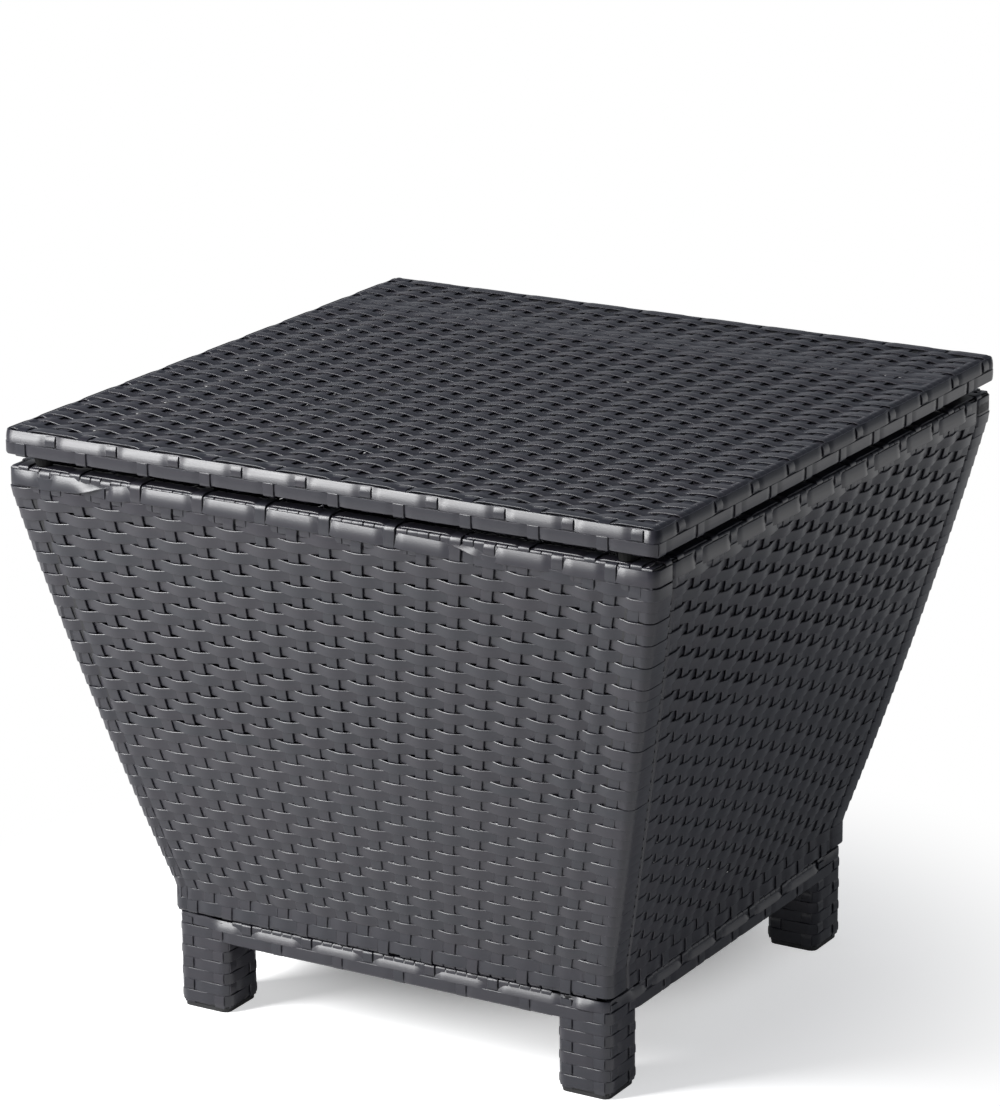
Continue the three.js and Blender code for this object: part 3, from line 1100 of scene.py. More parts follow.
    def wefts(self, rows: range) -> Strands:
        """Make rows, each wrapped round the posts at both ends.

        Args:
            rows: The rows' numbers from the rim down.

        Returns:
            The rows' centre lines.
        """
        lines = Strands()
        last = len(self.columns()) - 1
        rng = np.random.default_rng(self.seed)
        for row in rows:
            calm = self.calm_share if row >= self.tight_row - 1 else 1.0
            phase, shift = rng.uniform(0, 6), rng.normal(0, self.row_shift)
            push = rng.normal(0, self.row_push)
            slack = 1 - smooth_step((row - self.tight_row + 2) / 3)
            spans = [(0, last)]
            if row == 1 and self.wraps:
                spans = [(0, self.first_middle[0]), (self.first_middle[1], last)]
            for first, final in spans:
                column = np.linspace(first, final, (final - first) * self.subdivisions + 1)
                guess = np.full_like(column, self.row_way(row, 0.0))
                way = self.crossings(column, row, guess)[1]
                x = self.column_x(column, way)
                sunk = self.weave.sunk(column + row)
                way = way + calm * (self.wobble * np.sin(x / self.wobble_length + phase) + shift)
                way = way + self.weave.weft_lift * slack * sunk
                middle, swing, _ = self.swings(row)
                depth = middle - swing + 2 * swing * sunk + push
                self.lay(lines, x, way, np.maximum(depth, self.weave.weft_skin), 0.0)
        return lines

    def first_row(self) -> Strands:
        """Make the broad topmost row, which is three overlapping strips on a wrapping panel.

        Returns:
            The strips' centre lines.
        """
        lines = Strands()
        last = len(self.columns()) - 1
        level = self.shape.length - self.first_row_place
        stakes = self.column_x(np.arange(last + 1.0), np.full(last + 1, level))
        left_end, right_end = float(stakes[0]), float(stakes[-1])
        spans = [(0, left_end, right_end)]
        if self.wraps:
            low, high = self.first_middle
            spans = [
                (0, left_end, self.tucks[0]),
                (1, float(stakes[low]), float(stakes[high])),
                (0, self.tucks[1], right_end),
            ]
        for row, start, end in spans:
            x = np.linspace(start, end, round((end - start) / self.first_row_step))
            over = np.array([place for j, place in enumerate(stakes) if (j + row) % 2])
            depth = self.weave.pressed(x, over)
            rise = np.zeros_like(x)
            way = np.full_like(x, level)
            if row == 1:
                # The middle strip comes out from under the end of the left one.
                extra, length = self.middle_end
                depth = depth + extra * smooth_step((self.tucks[0] - x) / length)
                lift = self.middle_lift * smooth_step((x - start) / self.middle_climb)
                way = np.minimum(self.row_way(row, x) + lift, level + self.middle_limit)
            elif self.wraps:
                # The free end of an outer strip climbs and slips under the strips of the rim.
                free = end - x if end < right_end else x - start
                rise = smooth_step(1 - free / self.tuck_length)
                extra, length = self.tuck_end
                depth = depth + self.tuck_depth * rise + extra * smooth_step(1 - free / length)
            way = way + self.tuck_rise * rise
            self.lay(lines, x, way, depth, self.first_row_tilt + self.tuck_tilt * rise)
        return lines

    def lay(
        self,
        lines: Strands,
        x: np.ndarray,
        way: np.ndarray,
        depth: np.ndarray,
        tilt: np.ndarray | float,
    ) -> None:
        """Lay one row on the face, and round each post that it reaches.

        Args:
            lines: Takes the new centre line.
            x: Distance from the panel's middle.
            way: Way up the face.
            depth: Depth behind the outermost surface.
            tilt: How much further the row leans back, as a slope.
        """
        edges = self.column_x(np.array([0.0, len(self.columns()) - 1.0]), way[[0, -1]])
        ends = np.abs(x[[0, -1]] - edges) < self.end_reach
        _, half, out, up = self.shape.at(way)
        points = self.place(x, way, depth)
        outward = np.stack([np.zeros_like(out), -out, up + tilt], 1)
        flat = np.abs(x) < half - self.inset() - self.corner - self.corner_gap
        points, outward, way = points[flat], outward[flat], way[flat]
        if ends[0]:
            left = self.post_wrap(float(way[0]), -1)
            points = np.concatenate([left[0][::-1], points])
            outward = np.concatenate([left[1][::-1], outward])
        if ends[1]:
            right = self.post_wrap(float(way[-1]), 1)
            points = np.concatenate([points, right[0]])
            outward = np.concatenate([outward, right[1]])
        lines.add(points, outward)

    def post_wrap(self, way: float, side: int) -> tuple[np.ndarray, np.ndarray]:
        """Follow a row from its last stake round the post to the back.

        Args:
            way: Way up the face.
            side: -1 for the left post, 1 for the right one.

        Returns:
            Points and outward directions, from the face to the back.
        """
        height, half, out, up = (float(v) for v in self.shape.at(np.array(way)))
        depth = self.weave.weft_skin + self.post_gap
        post = self.wrapped_corner_post if self.wraps else self.wrapped_post
        width = half - self.inset()
        corner, back = self.corner, self.tube_radius
        arcs = [
            (width - corner, -(half - corner), corner - depth, 0),
            (width - back, -(half - post + back), back - depth, 3),
        ]
        points, normals = [], []
        for centre_x, centre_y, radius, start in arcs:
            for step in range(start, start + 4):
                flat = (math.sin(step * math.pi / 6), -math.cos(step * math.pi / 6))
                points.append((centre_x + radius * flat[0], centre_y + radius * flat[1]))
                normals.append(flat)
        points.append((width - post + self.post_tail, -(half - post + depth)))
        normals.append((0.0, 1.0))
        x, y = np.array(points).T
        facing_x, facing_y = np.array(normals).T
        made = np.stack([side * x, y, np.full_like(x, height - depth * up)], 1)
        outward = np.stack([side * facing_x * out, facing_y * out, np.full_like(x, up)], 1)
        return made, outward

    def rail_route(
        self, x: float, outer_depth: float, at_top: bool, edge_depth: float, first: float
    ) -> np.ndarray:
        """Follow a strip from the face round the rim's or the skirt's rail.

        Args:
            x: Distance from the panel's middle.
            outer_depth: Depth of the strip on the outer face.
            at_top: Round the rim's rail, or else the skirt's.
            edge_depth: Depth of the strip on the rim's top or the skirt's underside.
            first: Size of the turn off the outer face.

        Returns:
            Points from the outer face over the rail to its far side.
        """
        shape, skin = self.shape, self.weave.skin
        half, edge, away = shape.skirt_half, shape.bottom, 1
        if at_top:
            half, edge, away = shape.rim_half, shape.top, -1
        level = edge + away * edge_depth
        inner = edge + away * (shape.band - skin)
        outside = half - outer_depth
        inside = half - self.wrapped_post + skin
        route = [
            (outside, level + away * self.rail_lead),
            (outside, level),
            (inside, level),
            (inside, inner),
            (outside - self.rail_tail, inner),
        ]
        turn = self.tube_radius - skin
        return in_section(x, rounded_route(route, [first, turn, turn])[1:])

    def stakes(self) -> Strands:
        """Make the stakes, over and under the rows and round both rails.

        Returns:
            The strips' centre lines.
        """
        lines = Strands()
        skin, low_turn = self.weave.skin, self.tube_radius - self.weave.skin
        for column in range(len(self.columns())):
            first = self.first_row_at(column)
            row = np.linspace(self.rows - 0.6, first - 0.6, (self.rows - first) * 4 + 1)
            guess = self.shape.length - self.top_margin - self.weave.row_pitch * row
            x, way = self.crossings(np.full_like(row, float(column)), row, guess)
            over_first = (column + first) % 2 == 1
            kept = way <= self.shape.length - self.stake_ends[over_first]
            row, x, way = row[kept], x[kept], way[kept]
            middle, _, swing = self.swings(row - first)
            within = np.clip(row, first, self.rows - 1)
            depth = middle + swing * np.cos(math.pi * (column + within))
            over_rim = skin if column % 2 == 0 else self.weave.under
            turn = self.loose_turn if over_first else self.rim_turn
            top = self.rail_route(float(x[-1]), float(depth[-1]), True, over_rim, turn)
            bottom = self.rail_route(float(x[0]), float(depth[0]), False, skin, low_turn)
            points = np.concatenate([bottom[::-1], self.place(x, way, depth), top])
            lines.add(points, square_to(points, 0))
        return lines

    def rim_wraps(self) -> Strands:
        """Make the strips that cover the rim's and the skirt's rail between the stakes.

        Returns:
            The strips' centre lines.
        """
        lines = Strands()
        under = self.weave.under
        places = self.columns()
        width = self.shape.rim_half - self.inset()
        low_width = self.shape.skirt_half - self.inset()
        top_x = []
        for left, right in zip(width * places, width * places[1:]):
            between = max(1, round((right - left) / self.wrap_pitch) - 1)
            top_x += [left + (right - left) * (n + 1) / (between + 1) for n in range(between)]
        if self.wraps:
            edge = width - self.post_strip
            top_x += [edge, -edge]
        low = places - self.drift(places) * self.shape.length
        low_x = [low_width * (a + b) / 2 for a, b in zip(low, low[1:])]
        for x in top_x:
            lines.add(*self.ring(float(x), True, under), closed=True)
        if self.wraps:
            self.close_post_tops(lines)
        for x in low_x:
            # The bolt in the skirt's middle keeps its place free.
            if abs(x) > self.bolt_reach:
                lines.add(*self.ring(float(x), False, under + self.skirt_gap), closed=True)
        return lines

    def rim_row(self) -> Strands:
        """Make the row that runs along the rim's top face, under every second stake.

        Returns:
            The strips' centre lines.
        """
        lines = Strands()
        width = self.shape.rim_half - self.inset()
        reach = width - (self.corner_radius if self.wraps else 0.5)
        x = np.linspace(-reach, reach, 241)
        depth = self.weave.dipped(x, width * self.columns()[::2], self.rim_row_reach)
        y = np.full_like(x, -(self.shape.rim_half - self.rim_row_place))
        points = np.stack([x, y, self.shape.top - depth], 1)
        lines.add(points, np.tile([0.0, -0.12, 1.0], (len(x), 1)))
        return lines

    def close_post_tops(self, lines: Strands) -> None:
        """Add the strips that close the tops of the corner posts behind the rim's rail.

        Args:
            lines: Takes the new centre lines.
        """
        half, skin = self.shape.rim_half, self.weave.skin
        y = -(half - self.wrapped_corner_post + 5.2)
        top = self.shape.top - skin - self.weave.gap
        foot = top - self.post_strip_length
        outer, inner = half - self.weave.under, half - self.wrapped_corner_post + skin
        route = [(outer, foot), (outer, top), (inner, top), (inner, foot)]
        flat = rounded_route(route, self.tube_radius - skin)
        for side in (-1, 1):
            points = np.stack([side * flat[:, 0], np.full(len(flat), y), flat[:, 1]], 1)
            lines.add(points, square_to(points, 1) * -side)

    def ring(self, x: float, at_top: bool, under: float) -> tuple[np.ndarray, np.ndarray]:
        """Make one closed turn round a rail.

        Args:
            x: Distance from the panel's middle.
            at_top: Round the rim's rail, or else the skirt's.
            under: Depth on the outer face, below the rows.

        Returns:
            The turn's points and outward directions.
        """
        shape, skin = self.shape, self.weave.skin
        half = shape.rim_half if at_top else shape.skirt_half
        low = shape.top - shape.band if at_top else shape.bottom
        middle = low + shape.band / 2
        crest = low + shape.band - (under if at_top else skin)
        outer, inner = half - under, half - self.wrapped_post + skin
        corners = [
            (outer, middle),
            (outer, crest),
            (inner, crest),
            (inner, low + skin),
            (outer, low + skin),
            (outer, middle - 1.0),
        ]
        turn = self.tube_radius - skin
        first = self.rim_turn if at_top else turn
        points = in_section(x, rounded_route(corners, [first, turn, turn, turn]))
        centre = np.array([x, -(half - self.wrapped_post / 2), middle])
        return points, away_from(centre, points, square_to(points, 0, closed=True))

    def build(self, maker: StripMaker, finish: Finish) -> None:
        """Make the panel's strips and let them stand for its woven skin.

        Args:
            maker: Sweeps strips.
            finish: The strips' finish.
        """
        weave = self.weave
        leaning = ResinWicker("pe_resin_wicker_leaning", crown_mm=0.65, half_width_mm=6.2, lean=1.6)
        high, low = range(1, self.tight_row), range(self.tight_row, self.rows)
        thin, thick = weave.weft_thickness, weave.thickness
        sets = [
            ("wefts", self.wefts(high), weave.weft_width, thin, finish),
            ("low_wefts", self.wefts(low), weave.low_weft_width, thin, finish),
            ("first_row", self.first_row(), self.first_row_width, thin, leaning),
            ("stakes", self.stakes(), weave.stake_width, thick, finish),
            ("rail_wraps", self.rim_wraps(), self.wrap_width, thick, finish),
            ("rim_row", self.rim_row(), weave.stake_width, thick, finish),
        ]
        panel = f"{self.side.name.lower()}_panel"
        for number, (label, strands, width, thickness, dress) in enumerate(sets):
            turned = strands.turned(self.side.value)
            size = StripSize(width, thickness)
            seed = self.seed + number
            maker.make(f"{panel}_{label}", turned, size, dress, seed, CABINET, f"{panel}_weave")


# Base


def near_level(z: np.ndarray, level: float, core: float = 2.5, fade: float = 3.5) -> np.ndarray:
    """Say how near a height is to a band's: 1 beside it, fading to 0 away from it."""
    return smooth_step(1 - (np.abs(z - level) - core) / fade)


@dataclass
class Base:
    """Low frame that carries the cabinet: wrapped rails between four woven legs."""

    weave: Weave = Weave()
    half: float = 207.0
    bottom: float = 62.2
    top: float = 85.0
    wrapped: float = 22.8
    wrapped_leg: float = 48.8
    corner_radius: float = 8.0
    tube_radius: float = 3.2
    leg_bottom: float = 3.8
    row_pitch: float = 9.9
    first_row: float = 5.1
    rows: int = 8
    wrap_pitch: float = 9.9
    stake_offset: float = 15.0
    leg_bow: float = 1.7
    band_tilt: float = 15.0
    band_stand_off: float = 0.9
    band_past_leg: float = 22.0
    band_ease: tuple[float, float] = (16.0, 14.0)
    upper_visible: tuple[int, ...] = (-14, -8, -2, 4, 10)
    lower_visible: tuple[int, ...] = (-11, -5, 1, 7, 13)
    first_seed: int = 700

    def row_z(self, row: float) -> float:
        """Height of a row's middle, counted down from the rails' upper row."""
        return self.top - self.first_row - self.row_pitch * row

    def leg_centre(self) -> float:
        """Distance of a leg's middle from the table's middle planes."""
        return self.half - self.wrapped_leg / 2

    def legs(self) -> list[np.ndarray]:
        """Middles of the legs, on the ground."""
        reach = self.leg_centre()
        return [np.array([x, y, 0.0]) for x in (-reach, reach) for y in (-reach, reach)]

    def wrap_numbers(self) -> range:
        """Numbers of the wraps along one rail, from its middle."""
        count = int((self.half - self.wrapped_leg - 5) / self.wrap_pitch)
        return range(-count, count + 1)

    def leg_dip(self, row: int) -> float:
        """Place along one face of a leg where a stake crosses over a row."""
        return -self.stake_offset if row % 2 == 0 else self.stake_offset

    def side_dips(self, row: int) -> np.ndarray:
        """Find where wraps and the legs' stakes cross over a band row.

        Args:
            row: 0 for the upper band, 1 for the lower one.

        Returns:
            Places along one side, from its middle.
        """
        chosen = self.upper_visible if row == 0 else self.lower_visible
        dips = [n * self.wrap_pitch for n in chosen if n in self.wrap_numbers()]
        dips += [leg * self.leg_centre() + self.leg_dip(row) for leg in (-1, 1)]
        return np.array(dips)

    def band(self, row: int) -> Strands:
        """Make one of the two rows that run round the whole base.

        Args:
            row: 0 for the upper band, 1 for the lower one.

        Returns:
            The row's closed centre line.
        """
        lines = Strands()
        drop, sag, tilt = (0.3, 1.4, self.band_tilt) if row == 0 else (0.8, 0.0, 0.0)
        z = self.row_z(row) - drop
        reach = self.half - self.corner_radius
        along = np.linspace(-reach, reach, 154)
        depth = self.weave.dipped(along, self.side_dips(row))
        ease, end = self.band_ease
        inner = self.half - self.wrapped_leg + self.band_past_leg
        between = smooth_step((inner - np.abs(along)) / ease)
        # At the front the band leans back up to the right corner, and stands off that leg.
        past_leg = smooth_step((along - reach / 2) / ease) * smooth_step((reach - along) / end)
        sides = []
        for side in Side:
            leaning = np.maximum(between, past_leg) if side is Side.FRONT else between
            lean = math.radians(tilt) * leaning
            back = 0.25 * np.sin(lean) * self.row_pitch
            if tilt > 0:
                back -= self.band_stand_off * (leaning - between)
            sides.append((depth + back, z - sag * between, lean))
        corner = (reach, self.corner_radius - self.weave.skin, z, 0.0)
        lines.add(*square_loop(self.half, corner, along, sides), closed=True)
        return lines

    def wraps(self) -> Strands:
        """Make the turns side by side round each rail.

        Returns:
            The strips' centre lines.
        """
        skin, under = self.weave.skin, self.weave.under
        lines = Strands()
        inside = self.half - self.wrapped + skin
        z = np.linspace(self.bottom + 3.4, self.top - 3.4, 9)
        bands = [(self.row_z(1), self.lower_visible), (self.row_z(0), self.upper_visible)]
        for number in self.wrap_numbers():
            lift = sum(near_level(z, level) * (number in seen) for level, seen in bands)
            out = self.half - under + (under - skin) * np.clip(lift, 0, 1)
            route = [
                (float(out[-1]), self.top - 3.3),
                (float(out[-1]) + 0.01, self.top - skin - 0.2),
                (inside, self.top - skin),
                (inside, self.bottom + skin),
                (float(out[0]), self.bottom + skin),
                (float(out[0]), self.bottom + 3.3),
            ]
            rest = rounded_route(route, self.tube_radius - skin)[1:-1]
            flat = np.concatenate([np.stack([out, z], 1), rest])
            points = in_section(number * self.wrap_pitch, flat)
            lines.add(points, square_to(points, 0, closed=True), closed=True)
        return lines.turned(0, 1, 2, 3)

    def leg_rows(self) -> Strands:
        """Make the rows below the rails, each a loop round one leg.

        Returns:
            The strips' centre lines.
        """
        lines = Strands()
        skin = self.weave.skin
        half = self.wrapped_leg / 2
        reach = half - self.corner_radius
        along = np.linspace(-reach, reach, 15)
        for row in range(2, self.rows):
            z = self.row_z(row)
            near = np.clip(np.abs(along - self.leg_dip(row)) / self.stake_offset, 0, 1)
            depth = skin + self.leg_bow * (1 + np.cos(math.pi * near)) / 2
            corner = (reach, self.corner_radius - skin, z, 0.0)
            ring, outward = square_loop(half, corner, along, [(depth, z, 0.0)] * 4)
            for leg in self.legs():
                lines.add(ring + leg, outward, closed=True)
        return lines

    def leg_stakes(self) -> Strands:
        """Make the upright strips on the legs' faces.

        Returns:
            The strips' centre lines.
        """
        lines = Strands()
        skin, under = self.weave.skin, self.weave.under
        z = np.linspace(self.leg_bottom, self.top - 4.0, 40)
        facing = np.tile([0.0, -1.0, 0.0], (len(z), 1))
        for turn in map(quarter_turn, range(4)):
            for x in (-self.stake_offset, self.stake_offset):
                crossed = [row for row in range(self.rows) if self.leg_dip(row) == x]
                over = np.max([near_level(z, self.row_z(row)) for row in crossed], axis=0)
                out = self.wrapped_leg / 2 - under + (under - skin) * over
                points = in_section(x, np.stack([out, z], 1))
                for leg in self.legs():
                    lines.add(points @ turn + leg, facing @ turn)
        return lines

    def leg_tops(self) -> Strands:
        """Make the strips that close the legs' tops and clothe their inner sides by the rails.

        Returns:
            The strips' centre lines.
        """
        lines = Strands()
        skin = self.weave.skin
        half = self.wrapped_leg / 2
        low, high, side = self.bottom - 4.0, self.top - skin, half - self.weave.under
        route = [(-side, low), (-side, high), (side, high), (side, low)]
        flat = rounded_route(route, self.tube_radius - skin)
        for leg in self.legs():
            for offset in np.linspace(-half + 10.0, half - 10.0, 4):
                points = np.stack([flat[:, 0], np.full(len(flat), offset), flat[:, 1]], 1) + leg
                lines.add(points, square_to(points, 1))
        return lines

    def inner_corners(self) -> Strands:
        """Make the short rows on the legs' inner faces, level with the rails.

        Returns:
            The strips' centre lines.
        """
        lines = Strands()
        half = self.wrapped_leg / 2
        near, far = -half + self.weave.skin, half - self.wrapped + 1.0
        flat = rounded_route([(near, far), (near, near), (far, near)], self.tube_radius)
        for row in (0, 1):
            level = np.array([0.0, 0.0, self.row_z(row)])
            shape = np.column_stack([flat, np.zeros(len(flat))])
            for leg in self.legs():
                flip = np.array([math.copysign(1, leg[0]), math.copysign(1, leg[1]), 1.0])
                points = shape * flip + leg + level
                lines.add(points, away_from(leg + level, points, square_to(points, 2)))
        return lines

    def build(self, maker: StripMaker, finish: Finish) -> None:
        """Make the base's strips and let them stand for its woven cover.

        Args:
            maker: Sweeps strips.
            finish: The strips' finish.
        """
        weave = self.weave
        leaning = ResinWicker("pe_resin_wicker_base_edge", lean=8.0)
        sets = [
            ("upper_band", self.band(0), 9.8, 0.3, leaning),
            ("lower_band", self.band(1), 10.0, 0.0, finish),
            ("wraps", self.wraps(), 9.5, 0.0, finish),
            ("leg_rows", self.leg_rows(), 10.1, 0.0, finish),
            ("leg_stakes", self.leg_stakes(), weave.stake_width, 0.0, finish),
            ("leg_tops", self.leg_tops(), weave.stake_width - 0.2, 0.0, finish),
            ("inner_corners", self.inner_corners(), 9.8, 0.0, finish),
        ]
        for number, (label, strands, width, crown, dress) in enumerate(sets):
            size = StripSize(width, weave.thickness, crown)
            seed = self.first_seed + number
            maker.make(f"base_{label}", strands, size, dress, seed, CABINET, "base_weave")


# Lid


@dataclass
class Lid:
    """Loose lid: a woven top that runs down over the edges of its frame and under them."""

    weave: Weave = Weave()
    half: float = 299.95
    bottom: float = 490.9
    top: float = 513.65
    corner_radius: float = 8.0
    wrapped: float = 22.8
    rows: int = 59
    first_row: float = 290.2
    columns: int = 20
    first_column: float = 282.6
    weft_rise: float = 1.35
    weft_lift: float = 0.35
    tight_row: float = 49.0
    tight_share: float = 0.45
    upper_band: float = 507.4
    upper_back: float = 0.35
    upper_tilt: float = 7.0
    patch_back: float = 1.4
    lower_band: float = 497.3
    lower_tilt: float = -2.0
    edge_cycle: int = 6
    edge_offset: int = 3
    wobble: float = 0.2
    wobble_length: float = 57.0
    row_push: float = 0.06
    row_shift: float = 0.12
    band_up: float = 4.2
    band_down: float = 3.4
    seed: int = 31
    first_seed: int = 900
    subdivisions: int = 6

    def row_y(self, row: float | np.ndarray) -> float | np.ndarray:
        """Place of a row across the lid, counted from the front."""
        return -self.first_row + 2 * self.first_row / (self.rows - 1) * row

    def column_x(self, column: float | np.ndarray) -> float | np.ndarray:
        """Place of a stake across the lid, counted from the left."""
        return -self.first_column + 2 * self.first_column / (self.columns - 1) * column

    def row_rise(self, row: float | np.ndarray) -> float | np.ndarray:
        """Say how far a row swings; a few rows near the back edge are drawn tighter."""
        tight = 1 - smooth_step((np.abs(row - self.tight_row) - 1.2) / 2)
        return self.weft_rise * (1 - (1 - self.tight_share) * tight)

    def edge_route(self, upper_over: bool, lower_over: bool) -> np.ndarray:
        """Follow a strip from the lid's top down over its edge and under the frame.

        Args:
            upper_over: Whether the strip passes over the upper band.
            lower_over: Whether it passes over the lower band.

        Returns:
            Points as distance from the middle and height.
        """
        skin, under = self.weave.skin, self.weave.under
        z = np.linspace(self.upper_band - self.band_up, self.bottom + 3.2, 8)
        near = near_level(z, self.lower_band, 5.0, 1.2) * lower_over
        out = self.half - under + (under - skin) * near
        start = (float(out[0]), float(z[0]) - 0.2)
        # The edge's upper half leans back, and most strips lie behind the upper band there.
        lean = math.radians(self.upper_tilt)
        inward = np.array([-math.cos(lean), -math.sin(lean)])
        upward = np.array([-math.sin(lean), math.cos(lean)])
        middle = np.array([self.half - skin - self.upper_back, self.upper_band])
        if upper_over:
            # It comes out from under the outermost row and bends over the edge.
            head = (self.half - skin - self.patch_back, self.upper_band + self.band_up)
            route = [
                (self.half - 9.5, self.top - under - self.weave.gap),
                (head[0] - 1.6, head[1] - 1.0),
                head,
                (self.half - skin, self.upper_band + 0.4),
                (self.half - skin, self.upper_band - self.band_down),
                start,
            ]
            turns = [0.7, 0.8, 0.8, 0.6]
        else:
            # It lies over the outermost row and dives under the band at the edge.
            head = middle + inward * (under - skin) + upward * self.band_up
            foot = middle + inward * (under - skin) - upward * self.band_down
            route = [
                (self.half - 9.0, self.top - skin),
                (self.half - 6.6, self.top - skin),
                tuple(head),
                tuple(foot),
                start,
            ]
            turns = [0.9, 0.8, 0.6]
        above = rounded_route(route, turns, 2)[:-1]
        floor = self.bottom + skin
        last = (float(out[-1]), float(z[-1]))
        ends = [last, (last[0], floor), (self.half - self.wrapped + 1.5, floor)]
        return np.concatenate([above, np.stack([out, z], 1), rounded_route(ends, 2.4)[1:]])

    def over_edges(
        self, lines: Strands, top: np.ndarray, place: float, edge: np.ndarray, along: int
    ) -> None:
        """Run one strip over the top and down over the edge at both its ends.

        Args:
            lines: Takes the new centre line.
            top: The strip's points on the top.
            place: Its place across, where it goes over the edge.
            edge: Its route over the edge, as distance from the middle and height.
            along: The axis that it runs along.
        """
        far = np.full((len(edge), 3), place)
        far[:, along], far[:, 2] = edge[:, 0], edge[:, 1]
        near = far.copy()
        near[:, along] *= -1
        points = np.concatenate([near[::-1], top, far])
        lines.add(points, square_to(points, 1 - along))

    def wefts(self) -> Strands:
        """Make the rows that run from left to right over the whole top.

        Returns:
            The strips' centre lines.
        """
        lines = Strands()
        weave = self.weave
        rng = np.random.default_rng(self.seed)
        column = np.linspace(0, self.columns - 1, (self.columns - 1) * self.subdivisions + 1)
        x = self.column_x(column)
        for row in range(self.rows):
            sunk = weave.sunk(column + row + 1)
            push = rng.normal(0, self.row_push)
            depth = weave.weft_skin + 2 * self.row_rise(row) * sunk + push
            depth = np.maximum(depth, weave.weft_skin)
            if row in (0, self.rows - 1):
                crossings = self.column_x(np.arange(0, self.columns, 2))
                depth = weave.pressed(x, crossings)
                sunk = np.zeros_like(sunk)
            turn = row % self.edge_cycle
            y = float(self.row_y(row)) + rng.normal(0, self.row_shift)
            wobble = self.wobble * np.sin(x / self.wobble_length + rng.uniform(0, 6))
            top = np.stack([x, y + wobble - self.weft_lift * sunk, self.top - depth], 1)
            self.over_edges(lines, top, y, self.edge_route(turn == self.edge_offset, turn == 0), 0)
        return lines

    def stakes(self) -> Strands:
        """Make the stakes that run from front to back over the top.

        Returns:
            The strips' centre lines.
        """
        lines = Strands()
        weave = self.weave
        row = np.linspace(0.1, self.rows - 1.1, (self.rows - 1) * 4 + 1)
        y = self.row_y(row)
        outermost = np.clip(1 - np.minimum(row, self.rows - 1 - row), 0, 1)
        for column in range(self.columns):
            middle = weave.weft_skin + self.row_rise(row)
            depth = middle - weave.stake_rise * np.cos(math.pi * (column + row))
            even = column % 2 == 0
            level = weave.skin if even else weave.under + weave.gap
            depth = depth + (level - depth) * smooth_step(outermost)
            x = float(self.column_x(column))
            top = np.stack([np.full_like(y, x), y, self.top - depth], 1)
            self.over_edges(lines, top, x, self.edge_route(not even, even), 1)
        return lines

    def band(self, upper: bool) -> Strands:
        """Make one of the two rows that run round the lid's edge.

        Args:
            upper: The upper row, or else the lower one.

        Returns:
            The row's closed centre line.
        """
        lines = Strands()
        level, back, tilt, offset = self.lower_band, 0.0, self.lower_tilt, 0
        if upper:
            level, back, tilt = self.upper_band, self.upper_back, self.upper_tilt
            offset = self.edge_offset
        stakes = self.column_x(np.array([j for j in range(self.columns) if (j % 2 == 1) == upper]))
        wefts = self.row_y(np.arange(offset, self.rows, self.edge_cycle))
        reach = self.half - self.corner_radius
        along = np.linspace(-reach, reach, 232)
        lean = math.radians(tilt)
        sides = [
            (self.weave.dipped(along, crossings) + back, level, lean)
            for crossings in (stakes, wefts, -stakes, -wefts)
        ]
        corner = (reach, self.corner_radius - self.weave.skin - back, level, lean)
        lines.add(*square_loop(self.half, corner, along, sides), closed=True)
        return lines

    def build(self, maker: StripMaker, finish: Finish) -> None:
        """Make the lid's strips and let them stand for its woven top and edge.

        Args:
            maker: Sweeps strips.
            finish: The strips' finish.
        """
        thin, thick = self.weave.weft_thickness, self.weave.thickness
        leaning = ResinWicker("pe_resin_wicker_lid_edge", lean=12.0)
        sets = [
            ("wefts", self.wefts(), StripSize(10.15, thin), finish, "top"),
            ("stakes", self.stakes(), StripSize(9.9, thick), finish, "top"),
            ("upper_band", self.band(True), StripSize(10.4, thick, 0.6), leaning, "edge"),
            ("lower_band", self.band(False), StripSize(10.0, thick, 0.3), finish, "edge"),
        ]
        for number, (label, strands, size, dress, part) in enumerate(sets):
            seed = self.first_seed + number
            maker.make(f"lid_{label}", strands, size, dress, seed, LID, f"lid_weave_{part}")


# Metal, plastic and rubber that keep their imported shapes


@dataclass(frozen=True)
class Hardware:
    """The tubes, caps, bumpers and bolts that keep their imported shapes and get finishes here."""

    nodes: dict[str, bpy.types.Object]

    def dress(self) -> None:
        """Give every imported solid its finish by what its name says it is."""
        kinds: dict[str, Finish] = {
            "bolt": ZINC_BOLT,
            "leg_cap": CAP_PLASTIC,
            "bumper": BUMPER_RUBBER,
            "weave": ResinWicker(),
        }
        for name, solid in self.nodes.items():
            finish: Finish = COATED_STEEL
            for word, kind in kinds.items():
                if word in name:
                    finish = kind
            solid.data.materials.clear()
            solid.data.materials.append(finish.build())
            log.info("%s: %s", name, finish.name)


# Studio


@dataclass(frozen=True)
class Softbox:
    """One softbox: where it stands, what it points at, and how big and bright it is."""

    name: str = "softbox_key"
    place: tuple[float, float, float] = (-1.56, -2.0, 2.08)
    aim: tuple[float, float, float] = (0.0, 0.0, 0.3)
    width: float = 0.85
    height: float = 2.2
    watts: float = 165.0

    def build(self) -> None:
        """Make the lamp and point it."""
        lamp = bpy.data.lights.new(self.name, "AREA")
        lamp.shape = "RECTANGLE"
        lamp.size = self.width
        lamp.size_y = self.height
        lamp.energy = self.watts
        holder = bpy.data.objects.new(lamp.name, lamp)
        holder.location = self.place
        direction = Vector(self.aim) - Vector(self.place)
        holder.rotation_mode = "QUATERNION"
        holder.rotation_quaternion = direction.to_track_quat("-Z", "Y")
        bpy.context.scene.collection.objects.link(holder)


